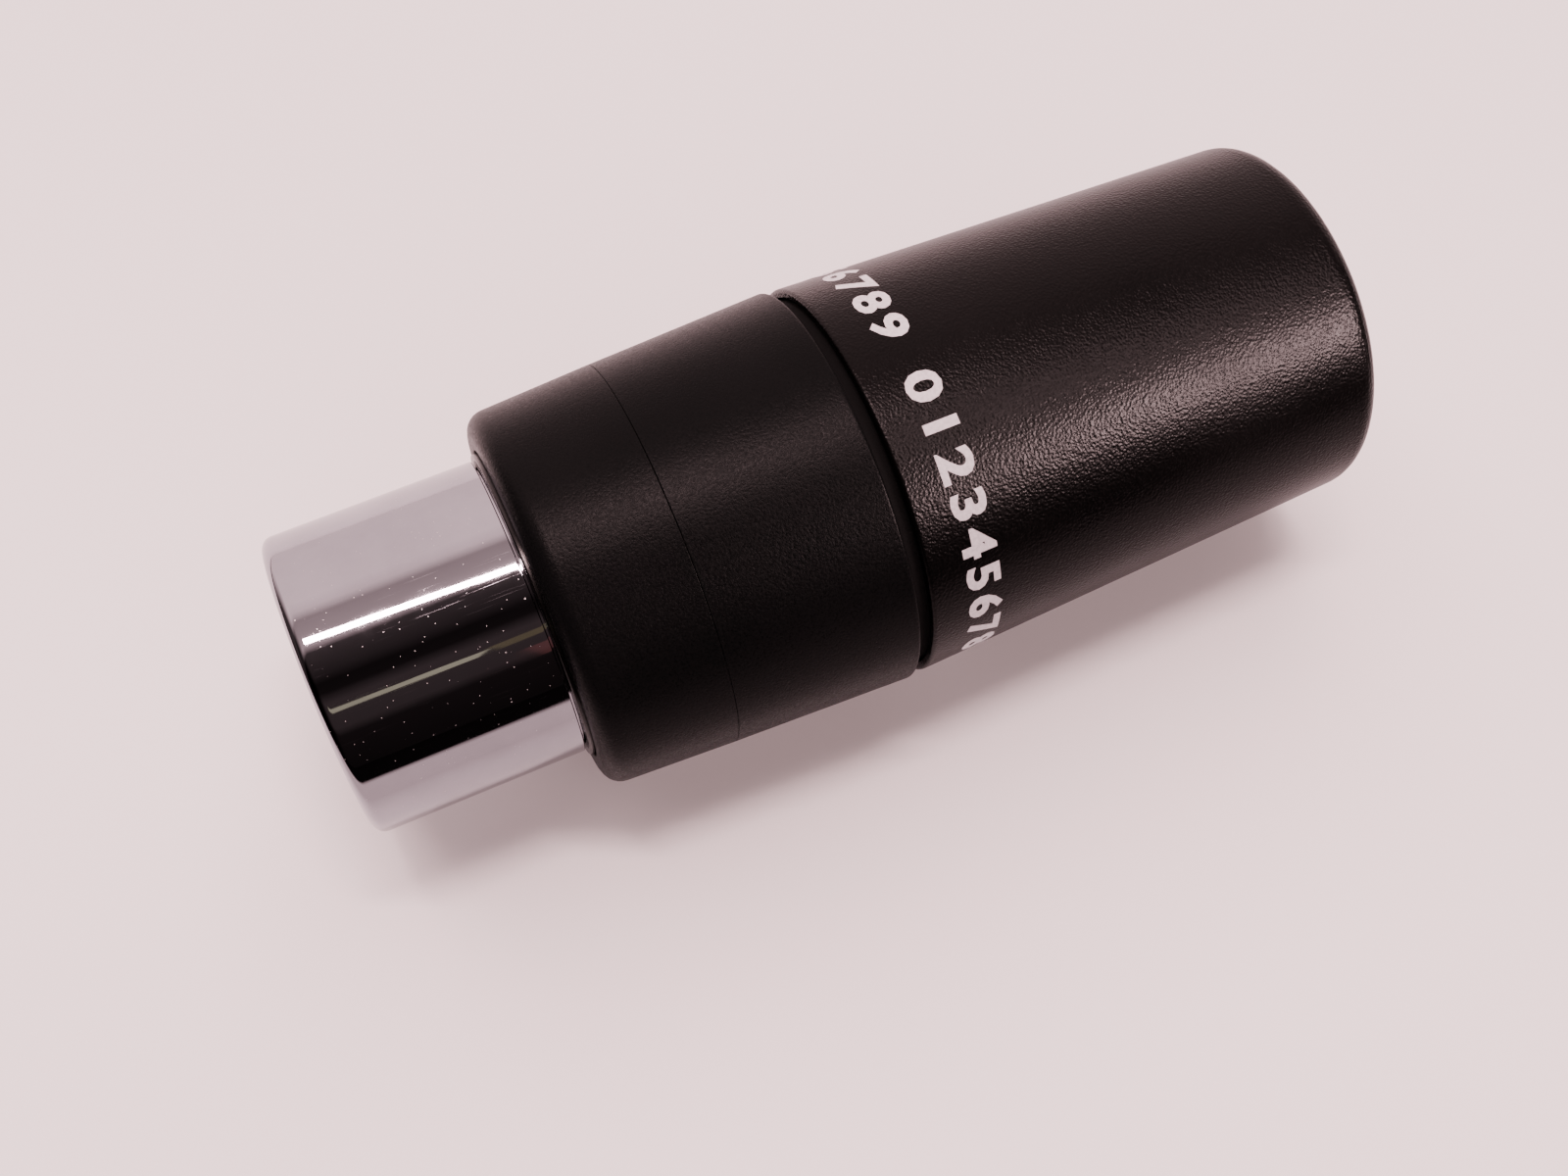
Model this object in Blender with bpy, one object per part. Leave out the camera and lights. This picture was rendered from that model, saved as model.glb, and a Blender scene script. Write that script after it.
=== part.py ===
"""Electronic eyepiece: a small video camera behind a 1.25 inch nosepiece, with a 9 V battery in its tail.

Every piece is drawn upright about its optical axis: local Z runs from the nose rim (zero) to the tail.
One datum empty then lays the eyepiece on its side, with the optical axis along world +X, the nose
towards -X, and the widest radius just touching the table at Z = 0. Local X points down, local Y is
world Y. Radii and stations below are millimetres; a station is a distance from the nose rim.
"""

import math

import bmesh
import bpy
from mathutils import Matrix, Vector

MM = 0.001
FINE_SIDES = 48         # round the outer shells
RING_SIDES = 32         # round the boards, rings and tray
SMALL_SIDES = 20        # round the studs and the socket
PIN_SIDES = 16
SCREW_SIDES = 12
CUT_OVERSHOOT = 1.0     # how far a cutting rod runs past what it cuts

# Clearances
SEAT_GAP = 0.3          # between two pieces that rest on each other
RUNNING_GAP = 0.3       # between a turning or sliding piece and what guides it
SCREW_CLEARANCE = 0.3   # between a shank and its hole

# Nosepiece
BARREL_RADIUS = 15.875  # the 1.25 inch standard
BARREL_LENGTH = 22.17   # from the rim to the shoulder
BARREL_EDGE_RADIUS = 1.2
BARREL_WALL = 2.275
FILTER_THREAD_WALL = 1.625
FILTER_THREAD_LENGTH = 4.0
SPIGOT_STEP = 0.975     # from the barrel down to its threaded end inside the body
SPIGOT_LENGTH = 7.2
LEDGE_WIDTH = 1.4       # of the ledge that the window rests on
LEDGE_OFFSET = 1.8      # from the shoulder to the front of the ledge
LEDGE_THICKNESS = 1.0
WINDOW_THICKNESS = 1.5
WINDOW_RING_WIDTH = 1.6
WINDOW_RING_HEIGHT = 1.5

# Body tube, whose lip shows round the barrel and whose flange is the floor of the shadow groove
LIP_WIDTH = 0.625
LIP_PROUD = 0.45
TUBE_STEP = 1.3
TUBE_WALL = 1.5
BULKHEAD_THICKNESS = 2.0
LEAD_HOLE_RADIUS = 3.5
FLANGE_STEP = 2.49      # least step from the tube up to the flange
GROOVE_DEPTH = 1.2
FLANGE_OVERLAP = 2.05   # how far the flange reaches under the contrast ring
FLANGE_COVERED = 1.49   # and under the battery cover
COVER_SPIGOT_LENGTH = 5.6
COVER_SPIGOT_STEP = 1.3 # from the flange down to the spigot
COVER_SPIGOT_WALL = 1.6

# Outer shells
FRONT_SHELL_LENGTH = 13.68
FRONT_SHELL_WALL = 2.14
FRONT_SHELL_FACE = 2.3
FRONT_CORNER_RADIUS = 2.2
FRONT_RISE = 0.69       # how much the front shell widens towards the ring
RING_LENGTH = 19.55
RING_EDGE_RADIUS = 0.5
RING_LAND = 2.6         # width of the ring's front bearing land
RING_REAR_LAND = 2.0
RING_RECESS = 1.3
GROOVE_WIDTH = 1.46
COVER_SETBACK = 0.21    # how much lower the cover starts than the ring ends
COVER_EDGE_RADIUS = 0.4
COVER_END_RADIUS = 2.36
COVER_WALL = 1.8
COVER_END_WALL = 2.3
COVER_FLOOR_RADIUS = 1.0    # of the inner corner at the closed end

# Contrast control between the ring and the tube
TRACK_THICKNESS = 0.9
TRACK_MARGIN = 0.29     # from the track's rim to the flange's
WIPER_HEIGHT = 1.1
WIPER_WIDTH = 1.3
WIPER_START_DEG = 100.0
WIPER_SPAN_DEG = 24.0
STOP_PIN_RADIUS = 1.0
STOP_PIN_DEG = 270.0
STOP_PIN_STATION = 7.6  # from the ring's front edge
STOP_MARGIN_DEG = 8.0
STOP_BLOCK_SPAN_DEG = 60.0

# O-ring that holds the cover
O_RING_SECTION = 0.4    # radius of its cross-section
O_RING_SINK = 0.25      # from the spigot down to the section's centre
O_RING_STEPS = 8
O_RING_GROOVE_WIDTH = 1.8
O_RING_GROOVE_OFFSET = 1.6
O_RING_GROOVE_DEPTH = 0.8

# 9 V battery and its holder
BATTERY_WIDTH = 26.5
BATTERY_HEIGHT = 17.5
BATTERY_LENGTH = 46.4
BATTERY_EDGE_RADIUS = 1.8
BATTERY_PLAY = 1.95     # from the battery's corners to the cover's wall at the tail
BATTERY_MOUTH_PLAY = 1.52   # and to the spigot's bore
TERMINAL_SPACING = 12.7
TERMINAL_HEIGHT = 1.6
STUD_RADIUS = 2.8
SOCKET_RADIUS = 4.3
CONTACT_HEIGHT = 0.9
CONNECTOR_THICKNESS = 1.2
CONNECTOR_WIDTH = 25.0
CONNECTOR_HEIGHT = 12.0
CONNECTOR_CORNER = 3.0
TRAY_THICKNESS = 1.4
TRAY_PLAY = 0.5
RAIL_THICKNESS = 1.5
RAIL_HEIGHT = 12.0
RAIL_COVERAGE = 0.84    # share of the battery that the rails hold
PAD_THICKNESS = 0.9
PAD_MARGIN = 3.0

# Camera boards
BOARD_MARGIN = 1.7      # from a board's edge to the tube's inner wall
BOARD_THICKNESS = 1.2
BOARD_SPACING = 6.2     # between the facing sides of the two boards
BULKHEAD_SPACING = 4.3  # from the video board to the bulkhead
SPACER_WALL = 0.8
SCREW_CIRCLE_MARGIN = 2.4
BOARD_SCREW_COUNT = 3
BOARD_SCREW_START_DEG = 30.0
SENSOR_SIZE = 11.0
SENSOR_THICKNESS = 1.6
SENSOR_GLASS_SIZE = 9.0
SENSOR_GLASS_THICKNESS = 0.8
SHROUD_RADIUS = 9.5
SHROUD_WALL = 1.2
SHROUD_APERTURE = 6.0
SHROUD_HEIGHT = 7.7
PROCESSOR_SIZE = 9.0
PROCESSOR_THICKNESS = 1.2
PROCESSOR_OFFSET = 8.0
CAPACITOR_RADIUS = 2.5
CAPACITOR_HEADROOM = 1.2
CAPACITOR_OFFSET = 6.0
CRYSTAL_LENGTH = 9.0
CRYSTAL_WIDTH = 4.0
CRYSTAL_HEIGHT = 3.0
CRYSTAL_CORNER = 1.6
CRYSTAL_OFFSET = 5.0
HEADER_LENGTH = 12.0
HEADER_WIDTH = 2.6
HEADER_CLEARANCE = 0.5  # to the nearest spacer
LEAD_RADIUS = 0.6
LEAD_PLAY = 0.3
LEAD_PITCH = 1.3
LEAD_BENDS = ((0.0, 0.0), (0.15, 0.25), (0.75, 0.55), (1.0, 0.8), (1.0, 1.0))   # shares (outward, forward)

# Screws
SCREW_RADIUS = 1.0
SCREW_HEAD_RADIUS = 1.9
SCREW_HEAD_HEIGHT = 1.0
SCREW_HEAD_CHAMFER = 0.35
TRAY_SCREW_OFFSET = 11.0

# Video output socket, radial, on the side turned away from the front
JACK_STATION = 10.1     # from the front shell's face
JACK_DEG = 90.0
JACK_BODY_SIDE = 4.8
JACK_BODY_DEPTH = 5.4
JACK_BUSH_RADIUS = 2.3
JACK_BORE_RADIUS = 1.35
JACK_BORE_DEPTH = 3.6
JACK_RECESS = 0.45
JACK_BODY_GAP = 0.4     # from the tube's inner wall

# Stations and radii that follow
SHOULDER = BARREL_LENGTH
SPIGOT_END = SHOULDER + SPIGOT_LENGTH
LIP_FACE = SHOULDER + SEAT_GAP
SHELL_FACE = LIP_FACE + LIP_PROUD
SHELL_REAR = SHELL_FACE + FRONT_SHELL_LENGTH
RING_FRONT = SHELL_REAR + RUNNING_GAP
RING_REAR = RING_FRONT + RING_LENGTH
COVER_FRONT = RING_REAR + GROOVE_WIDTH
FLANGE_FRONT = RING_REAR - FLANGE_OVERLAP
FLANGE_REAR = COVER_FRONT + FLANGE_COVERED
BULKHEAD_REAR = FLANGE_FRONT
BULKHEAD_FRONT = BULKHEAD_REAR - BULKHEAD_THICKNESS
TRAY_FRONT = BULKHEAD_REAR + SEAT_GAP
TRAY_REAR = TRAY_FRONT + TRAY_THICKNESS
CONNECTOR_FRONT = TRAY_REAR + SEAT_GAP
CONNECTOR_REAR = CONNECTOR_FRONT + CONNECTOR_THICKNESS
CONTACT_FRONT = CONNECTOR_REAR + SEAT_GAP
CONTACT_REAR = CONTACT_FRONT + CONTACT_HEIGHT
TERMINAL_FRONT = CONTACT_REAR + SEAT_GAP
TERMINAL_REAR = TERMINAL_FRONT + TERMINAL_HEIGHT
BATTERY_FRONT = TERMINAL_REAR + SEAT_GAP
BATTERY_REAR = BATTERY_FRONT + BATTERY_LENGTH
PAD_FRONT = BATTERY_REAR + SEAT_GAP
PAD_REAR = PAD_FRONT + PAD_THICKNESS
COVER_FLOOR = PAD_REAR + SEAT_GAP
TOTAL_LENGTH = COVER_FLOOR + COVER_END_WALL

BARREL_BORE = BARREL_RADIUS - BARREL_WALL
FILTER_THREAD_RADIUS = BARREL_RADIUS - FILTER_THREAD_WALL
SPIGOT_RADIUS = BARREL_RADIUS - SPIGOT_STEP
LEDGE_RADIUS = BARREL_BORE - LEDGE_WIDTH
LIP_RADIUS = BARREL_RADIUS + LIP_WIDTH
TUBE_RADIUS = LIP_RADIUS + TUBE_STEP
TUBE_BORE = TUBE_RADIUS - TUBE_WALL
SHELL_BORE = TUBE_RADIUS + SEAT_GAP
SHELL_FRONT_RADIUS = SHELL_BORE + FRONT_SHELL_WALL
SEAM_RADIUS = SHELL_FRONT_RADIUS + FRONT_RISE
RING_BORE = TUBE_RADIUS + RUNNING_GAP
BATTERY_CORNER = math.hypot(BATTERY_WIDTH, BATTERY_HEIGHT) / 2
BATTERY_SPIGOT_RADIUS = BATTERY_CORNER + BATTERY_MOUTH_PLAY + COVER_SPIGOT_WALL
FLANGE_RADIUS = max(TUBE_RADIUS + FLANGE_STEP, BATTERY_SPIGOT_RADIUS + COVER_SPIGOT_STEP)
FLANGE_CLEAR_RADIUS = FLANGE_RADIUS + RUNNING_GAP
COVER_SPIGOT_RADIUS = FLANGE_RADIUS - COVER_SPIGOT_STEP
COVER_FRONT_RADIUS = FLANGE_RADIUS + GROOVE_DEPTH
RING_REAR_RADIUS = COVER_FRONT_RADIUS + COVER_SETBACK
COVER_BORE = COVER_SPIGOT_RADIUS + RUNNING_GAP
COVER_END_BORE = BATTERY_CORNER + BATTERY_PLAY
COVER_REAR_RADIUS = COVER_END_BORE + COVER_WALL
TRAY_RADIUS = COVER_SPIGOT_RADIUS - COVER_SPIGOT_WALL - TRAY_PLAY
WIDEST_RADIUS = max(RING_REAR_RADIUS, COVER_REAR_RADIUS, SEAM_RADIUS)

TRACK_REAR = FLANGE_FRONT - SEAT_GAP
TRACK_FRONT = TRACK_REAR - TRACK_THICKNESS
WIPER_REAR = TRACK_FRONT - RUNNING_GAP
WIPER_FRONT = WIPER_REAR - WIPER_HEIGHT
RING_STEP = WIPER_FRONT - SEAT_GAP

VIDEO_BOARD_REAR = BULKHEAD_FRONT - BULKHEAD_SPACING
VIDEO_BOARD_FRONT = VIDEO_BOARD_REAR - BOARD_THICKNESS
SENSOR_BOARD_REAR = VIDEO_BOARD_FRONT - BOARD_SPACING
SENSOR_BOARD_FRONT = SENSOR_BOARD_REAR - BOARD_THICKNESS
BOARD_RADIUS = TUBE_BORE - BOARD_MARGIN
SCREW_CIRCLE = BOARD_RADIUS - SCREW_CIRCLE_MARGIN
SCREW_HOLE_RADIUS = SCREW_RADIUS + SCREW_CLEARANCE
SPACER_RADIUS = SCREW_HOLE_RADIUS + SPACER_WALL
HEADER_OFFSET = SCREW_CIRCLE - SPACER_RADIUS - HEADER_CLEARANCE - HEADER_WIDTH / 2

FINISHES = {
    "chrome": ((0.80, 0.80, 0.82), 0.06, 1.0),
    "satin_black": ((0.022, 0.022, 0.024), 0.48, 0.0),
    "grained_black": ((0.018, 0.018, 0.020), 0.36, 0.0),
    "gloss_black": ((0.008, 0.008, 0.010), 0.08, 0.0),
    "flat_black": ((0.012, 0.012, 0.012), 0.85, 0.0),
    "rubber": ((0.020, 0.020, 0.020), 0.70, 0.0),
    "foam": ((0.050, 0.050, 0.055), 0.95, 0.0),
    "glass": ((0.70, 0.82, 0.80), 0.03, 0.0),
    "board_green": ((0.015, 0.120, 0.045), 0.42, 0.0),
    "ceramic": ((0.170, 0.165, 0.180), 0.40, 0.0),
    "steel": ((0.62, 0.62, 0.64), 0.28, 1.0),
    "brass": ((0.72, 0.54, 0.24), 0.28, 1.0),
    "aluminium": ((0.70, 0.71, 0.73), 0.35, 1.0),
    "red_plastic": ((0.420, 0.015, 0.012), 0.45, 0.0),
    "battery_wrap": ((0.060, 0.065, 0.075), 0.32, 0.3),
}


def clear_scene():
    for obj in list(bpy.data.objects):
        bpy.data.objects.remove(obj, do_unlink=True)


def make_datum():
    """The empty that lays the upright pieces along world +X, centred over the origin."""
    datum = bpy.data.objects.new("optical_axis", None)
    bpy.context.scene.collection.objects.link(datum)
    datum.location = (-TOTAL_LENGTH / 2 * MM, 0.0, WIDEST_RADIUS * MM)
    datum.rotation_euler = (0.0, math.radians(90.0), 0.0)
    return datum


def finish(name, kind):
    """A material of the piece's own, from the palette."""
    colour, roughness, metallic = FINISHES[kind]
    mat = bpy.data.materials.new(name + "_finish")
    mat.use_nodes = True
    shader = mat.node_tree.nodes["Principled BSDF"]
    shader.inputs["Base Color"].default_value = (*colour, 1.0)
    shader.inputs["Roughness"].default_value = roughness
    shader.inputs["Metallic"].default_value = metallic
    if kind == "glass":
        shader.inputs["Transmission Weight"].default_value = 0.9
    return mat


def place(name, bm, kind, datum, at=(0.0, 0.0, 0.0)):
    """Turns a finished bmesh, drawn in millimetres, into a named piece on the datum."""
    bmesh.ops.recalc_face_normals(bm, faces=bm.faces)
    bmesh.ops.scale(bm, vec=(MM, MM, MM), verts=bm.verts)
    mesh = bpy.data.meshes.new(name)
    bm.to_mesh(mesh)
    bm.free()
    mesh.shade_smooth()
    mesh.set_sharp_from_angle(angle=math.radians(30.0))
    mesh.materials.append(finish(name, kind))
    obj = bpy.data.objects.new(name, mesh)
    bpy.context.scene.collection.objects.link(obj)
    obj.parent = datum
    obj.location = Vector(at) * MM
    return obj


def arc(centre_r, centre_z, radius, start_deg, end_deg, steps):
    """Points of a rounded corner in the (radius, station) plane."""
    points = []
    for i in range(steps + 1):
        angle = math.radians(start_deg + (end_deg - start_deg) * i / steps)
        points.append((centre_r + radius * math.cos(angle), centre_z + radius * math.sin(angle)))
    return points


def spin_outline(bm, outline, sides, closed=True, turn_deg=360.0):
    """Turns an outline of (radius, station) points about the axis."""
    verts = [bm.verts.new((r, 0.0, z)) for r, z in outline]
    edges = [bm.edges.new(pair) for pair in zip(verts, verts[1:])]
    if closed:
        edges.append(bm.edges.new((verts[-1], verts[0])))
    bmesh.ops.spin(
        bm,
        geom=verts + edges,
        axis=(0.0, 0.0, 1.0),
        cent=(0.0, 0.0, 0.0),
        angle=math.radians(turn_deg),
        steps=sides,
        use_merge=turn_deg == 360.0,
    )
    bmesh.ops.remove_doubles(bm, verts=bm.verts, dist=1e-5)


def turned(name, outline, kind, datum, sides=FINE_SIDES, closed=True, at=(0.0, 0.0, 0.0)):
    bm = bmesh.new()
    spin_outline(bm, outline, sides, closed)
    return place(name, bm, kind, datum, at)


def annulus(inner, outer, front, rear):
    return [(inner, front), (outer, front), (outer, rear), (inner, rear)]


def add_rod(bm, radius, front, rear, x=0.0, y=0.0, sides=SMALL_SIDES):
    """A closed cylinder along the axis, standing at (x, y)."""
    shift = Matrix.Translation((x, y, (front + rear) / 2))
    bmesh.ops.create_cone(
        bm, cap_ends=True, segments=sides, radius1=radius, radius2=radius, depth=rear - front, matrix=shift
    )


def add_block(bm, size, centre):
    """A box; size and centre are (x, y, station)."""
    grow = Matrix.Diagonal((*size, 1.0))
    return bmesh.ops.create_cube(bm, size=1.0, matrix=Matrix.Translation(centre) @ grow)["verts"]


def round_corners(bm, radius, segments=3):
    """Rounds the edges that run along the axis."""
    upright = [e for e in bm.edges if abs(e.verts[0].co.z - e.verts[1].co.z) > 1e-6]
    bmesh.ops.bevel(bm, geom=upright, offset=radius, segments=segments, profile=0.5, affect="EDGES")


def arc_block(bm, inner, outer, front, rear, start_deg, span_deg, steps):
    """A block bent round the axis, closed at both ends."""
    spin_outline(bm, annulus(inner, outer, front, rear), steps, True, span_deg)
    bmesh.ops.holes_fill(bm, edges=[e for e in bm.edges if e.is_boundary], sides=0)
    bmesh.ops.rotate(
        bm,
        verts=bm.verts,
        cent=(0.0, 0.0, 0.0),
        matrix=Matrix.Rotation(math.radians(start_deg), 3, "Z"),
    )


def radial_rod(bm, radius, inner, outer, station, angle_deg, sides=SMALL_SIDES):
    """A cylinder that points straight out from the axis."""
    out = Vector((math.cos(math.radians(angle_deg)), math.sin(math.radians(angle_deg)), 0.0))
    turn = Vector((0.0, 0.0, 1.0)).rotation_difference(out).to_matrix().to_4x4()
    middle = out * (inner + outer) / 2 + Vector((0.0, 0.0, station))
    bmesh.ops.create_cone(
        bm,
        cap_ends=True,
        segments=sides,
        radius1=radius,
        radius2=radius,
        depth=outer - inner,
        matrix=Matrix.Translation(middle) @ turn,
    )


def combine(target, bm, operation, datum, label):
    """Adds the bmesh to a piece, or cuts it away, with a Boolean on a hidden guide."""
    tool = place(target.name + "_" + label, bm, "flat_black", datum)
    tool.hide_render = True
    tool.display_type = "WIRE"
    boolean = target.modifiers.new(label, "BOOLEAN")
    boolean.operation = operation
    boolean.solver = "EXACT"
    boolean.object = tool


def board_screw_places():
    turns = [i / BOARD_SCREW_COUNT for i in range(BOARD_SCREW_COUNT)]
    angles = [math.radians(BOARD_SCREW_START_DEG + 360.0 * turn) for turn in turns]
    return [(SCREW_CIRCLE * math.cos(a), SCREW_CIRCLE * math.sin(a)) for a in angles]


def tray_screw_places():
    return [(TRAY_SCREW_OFFSET, 0.0), (-TRAY_SCREW_OFFSET, 0.0)]


def nosepiece(datum):
    ledge_front = SHOULDER + LEDGE_OFFSET
    ledge_rear = ledge_front + LEDGE_THICKNESS
    outline = [(FILTER_THREAD_RADIUS, 0.0)]
    outline += arc(BARREL_RADIUS - BARREL_EDGE_RADIUS, BARREL_EDGE_RADIUS, BARREL_EDGE_RADIUS, -90.0, 0.0, 4)
    outline += [
        (BARREL_RADIUS, SHOULDER),
        (SPIGOT_RADIUS, SHOULDER),
        (SPIGOT_RADIUS, SPIGOT_END),
        (BARREL_BORE, SPIGOT_END),
        (BARREL_BORE, ledge_rear),
        (LEDGE_RADIUS, ledge_rear),
        (LEDGE_RADIUS, ledge_front),
        (BARREL_BORE, ledge_front),
        (BARREL_BORE, FILTER_THREAD_LENGTH),
        (FILTER_THREAD_RADIUS, FILTER_THREAD_LENGTH),
    ]
    turned("nosepiece_barrel", outline, "chrome", datum)

    seat = BARREL_BORE - SEAT_GAP
    window_front = ledge_rear + SEAT_GAP
    window_rear = window_front + WINDOW_THICKNESS
    window = [(0.0, window_front), (seat, window_front), (seat, window_rear), (0.0, window_rear)]
    turned("filter_window", window, "glass", datum, sides=RING_SIDES, closed=False)

    ring_front = window_rear + SEAT_GAP
    ring = annulus(seat - WINDOW_RING_WIDTH, seat, ring_front, ring_front + WINDOW_RING_HEIGHT)
    turned("window_ring", ring, "flat_black", datum, sides=RING_SIDES)


def body_tube(datum):
    spigot_end = FLANGE_REAR + COVER_SPIGOT_LENGTH
    groove_front = FLANGE_REAR + O_RING_GROOVE_OFFSET
    groove_rear = groove_front + O_RING_GROOVE_WIDTH
    groove_floor = COVER_SPIGOT_RADIUS - O_RING_GROOVE_DEPTH
    spigot_bore = COVER_SPIGOT_RADIUS - COVER_SPIGOT_WALL
    thread_bore = SPIGOT_RADIUS + SEAT_GAP
    tube_front = SHELL_FACE + FRONT_SHELL_FACE + SEAT_GAP
    outline = [
        (thread_bore, LIP_FACE),
        (LIP_RADIUS, LIP_FACE),
        (LIP_RADIUS, tube_front),
        (TUBE_RADIUS, tube_front),
        (TUBE_RADIUS, FLANGE_FRONT),
        (FLANGE_RADIUS, FLANGE_FRONT),
        (FLANGE_RADIUS, FLANGE_REAR),
        (COVER_SPIGOT_RADIUS, FLANGE_REAR),
        (COVER_SPIGOT_RADIUS, groove_front),
        (groove_floor, groove_front),
        (groove_floor, groove_rear),
        (COVER_SPIGOT_RADIUS, groove_rear),
        (COVER_SPIGOT_RADIUS, spigot_end),
        (spigot_bore, spigot_end),
        (spigot_bore, BULKHEAD_REAR),
        (LEAD_HOLE_RADIUS, BULKHEAD_REAR),
        (LEAD_HOLE_RADIUS, BULKHEAD_FRONT),
        (TUBE_BORE, BULKHEAD_FRONT),
        (TUBE_BORE, SPIGOT_END + SEAT_GAP),
        (thread_bore, SPIGOT_END + SEAT_GAP),
    ]
    tube = turned("body_tube", outline, "gloss_black", datum)

    holes = bmesh.new()
    for x, y in board_screw_places() + tray_screw_places():
        start, end = BULKHEAD_FRONT - CUT_OVERSHOOT, BULKHEAD_REAR + CUT_OVERSHOOT
        add_rod(holes, SCREW_HOLE_RADIUS, start, end, x, y, SCREW_SIDES)
    pin_station = RING_FRONT + STOP_PIN_STATION
    pin_hole = STOP_PIN_RADIUS + SCREW_CLEARANCE
    inner, outer = TUBE_BORE - CUT_OVERSHOOT, TUBE_RADIUS + CUT_OVERSHOOT
    radial_rod(holes, pin_hole, inner, outer, pin_station, STOP_PIN_DEG, SCREW_SIDES)
    jack_hole = JACK_BUSH_RADIUS + SEAT_GAP
    station = SHELL_FACE + JACK_STATION
    radial_rod(holes, jack_hole, inner, outer, station, JACK_DEG)
    combine(tube, holes, "DIFFERENCE", datum, "holes")


def shell_radius(station):
    """Outer radius of the front shell's cone."""
    return SHELL_FRONT_RADIUS + FRONT_RISE * (station - SHELL_FACE) / FRONT_SHELL_LENGTH


def front_shell(datum):
    corner_z = SHELL_FACE + FRONT_CORNER_RADIUS
    corner_r = shell_radius(corner_z) - FRONT_CORNER_RADIUS
    lip_bore = LIP_RADIUS + SEAT_GAP
    face_rear = SHELL_FACE + FRONT_SHELL_FACE
    outline = [(lip_bore, SHELL_FACE)]
    outline += arc(corner_r, corner_z, FRONT_CORNER_RADIUS, -90.0, 0.0, 5)
    outline += [
        (SEAM_RADIUS, SHELL_REAR),
        (SHELL_BORE, SHELL_REAR),
        (SHELL_BORE, face_rear),
        (lip_bore, face_rear),
    ]
    shell = turned("front_shell", outline, "satin_black", datum)

    hole = bmesh.new()
    station = SHELL_FACE + JACK_STATION
    inner, outer = SHELL_BORE - CUT_OVERSHOOT, SEAM_RADIUS + CUT_OVERSHOOT
    radial_rod(hole, JACK_BUSH_RADIUS + SEAT_GAP, inner, outer, station, JACK_DEG)
    combine(shell, hole, "DIFFERENCE", datum, "socket_hole")


def contrast_ring(datum):
    edge_r = RING_REAR_RADIUS - RING_EDGE_RADIUS
    edge_z = RING_REAR - RING_EDGE_RADIUS
    recess = RING_BORE + RING_RECESS
    outline = [(RING_BORE, RING_FRONT), (SEAM_RADIUS, RING_FRONT)]
    outline += arc(edge_r, edge_z, RING_EDGE_RADIUS, 0.0, 90.0, 3)
    outline += [
        (FLANGE_CLEAR_RADIUS, RING_REAR),
        (FLANGE_CLEAR_RADIUS, RING_STEP),
        (RING_BORE, RING_STEP),
        (RING_BORE, RING_STEP - RING_REAR_LAND),
        (recess, RING_STEP - RING_REAR_LAND),
        (recess, RING_FRONT + RING_LAND),
        (RING_BORE, RING_FRONT + RING_LAND),
    ]
    turned("contrast_ring", outline, "satin_black", datum)


def contrast_control(datum):
    """Resistive track on the tube, wiper and stop block on the ring, stop pin in the tube."""
    inner = TUBE_RADIUS + SEAT_GAP
    outer = FLANGE_RADIUS - TRACK_MARGIN
    track = annulus(inner, outer, TRACK_FRONT, TRACK_REAR)
    turned("contrast_track", track, "board_green", datum)

    wiper = bmesh.new()
    middle = (inner + outer) / 2
    low = middle - WIPER_WIDTH / 2
    high = middle + WIPER_WIDTH / 2
    arc_block(wiper, low, high, WIPER_FRONT, WIPER_REAR, WIPER_START_DEG, WIPER_SPAN_DEG, 4)
    place("contrast_wiper", wiper, "brass", datum)

    pin = bmesh.new()
    pin_tip = RING_BORE + RING_RECESS - RUNNING_GAP
    station = RING_FRONT + STOP_PIN_STATION
    radial_rod(pin, STOP_PIN_RADIUS, TUBE_BORE + SEAT_GAP, pin_tip, station, STOP_PIN_DEG, PIN_SIDES)
    place("stop_pin", pin, "steel", datum)

    block = bmesh.new()
    front = RING_FRONT + RING_LAND + SEAT_GAP
    rear = RING_STEP - RING_REAR_LAND - SEAT_GAP
    start = STOP_PIN_DEG + STOP_MARGIN_DEG
    block_outer = RING_BORE + RING_RECESS - SEAT_GAP
    arc_block(block, RING_BORE, block_outer, front, rear, start, STOP_BLOCK_SPAN_DEG, 8)
    place("stop_block", block, "satin_black", datum)


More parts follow.
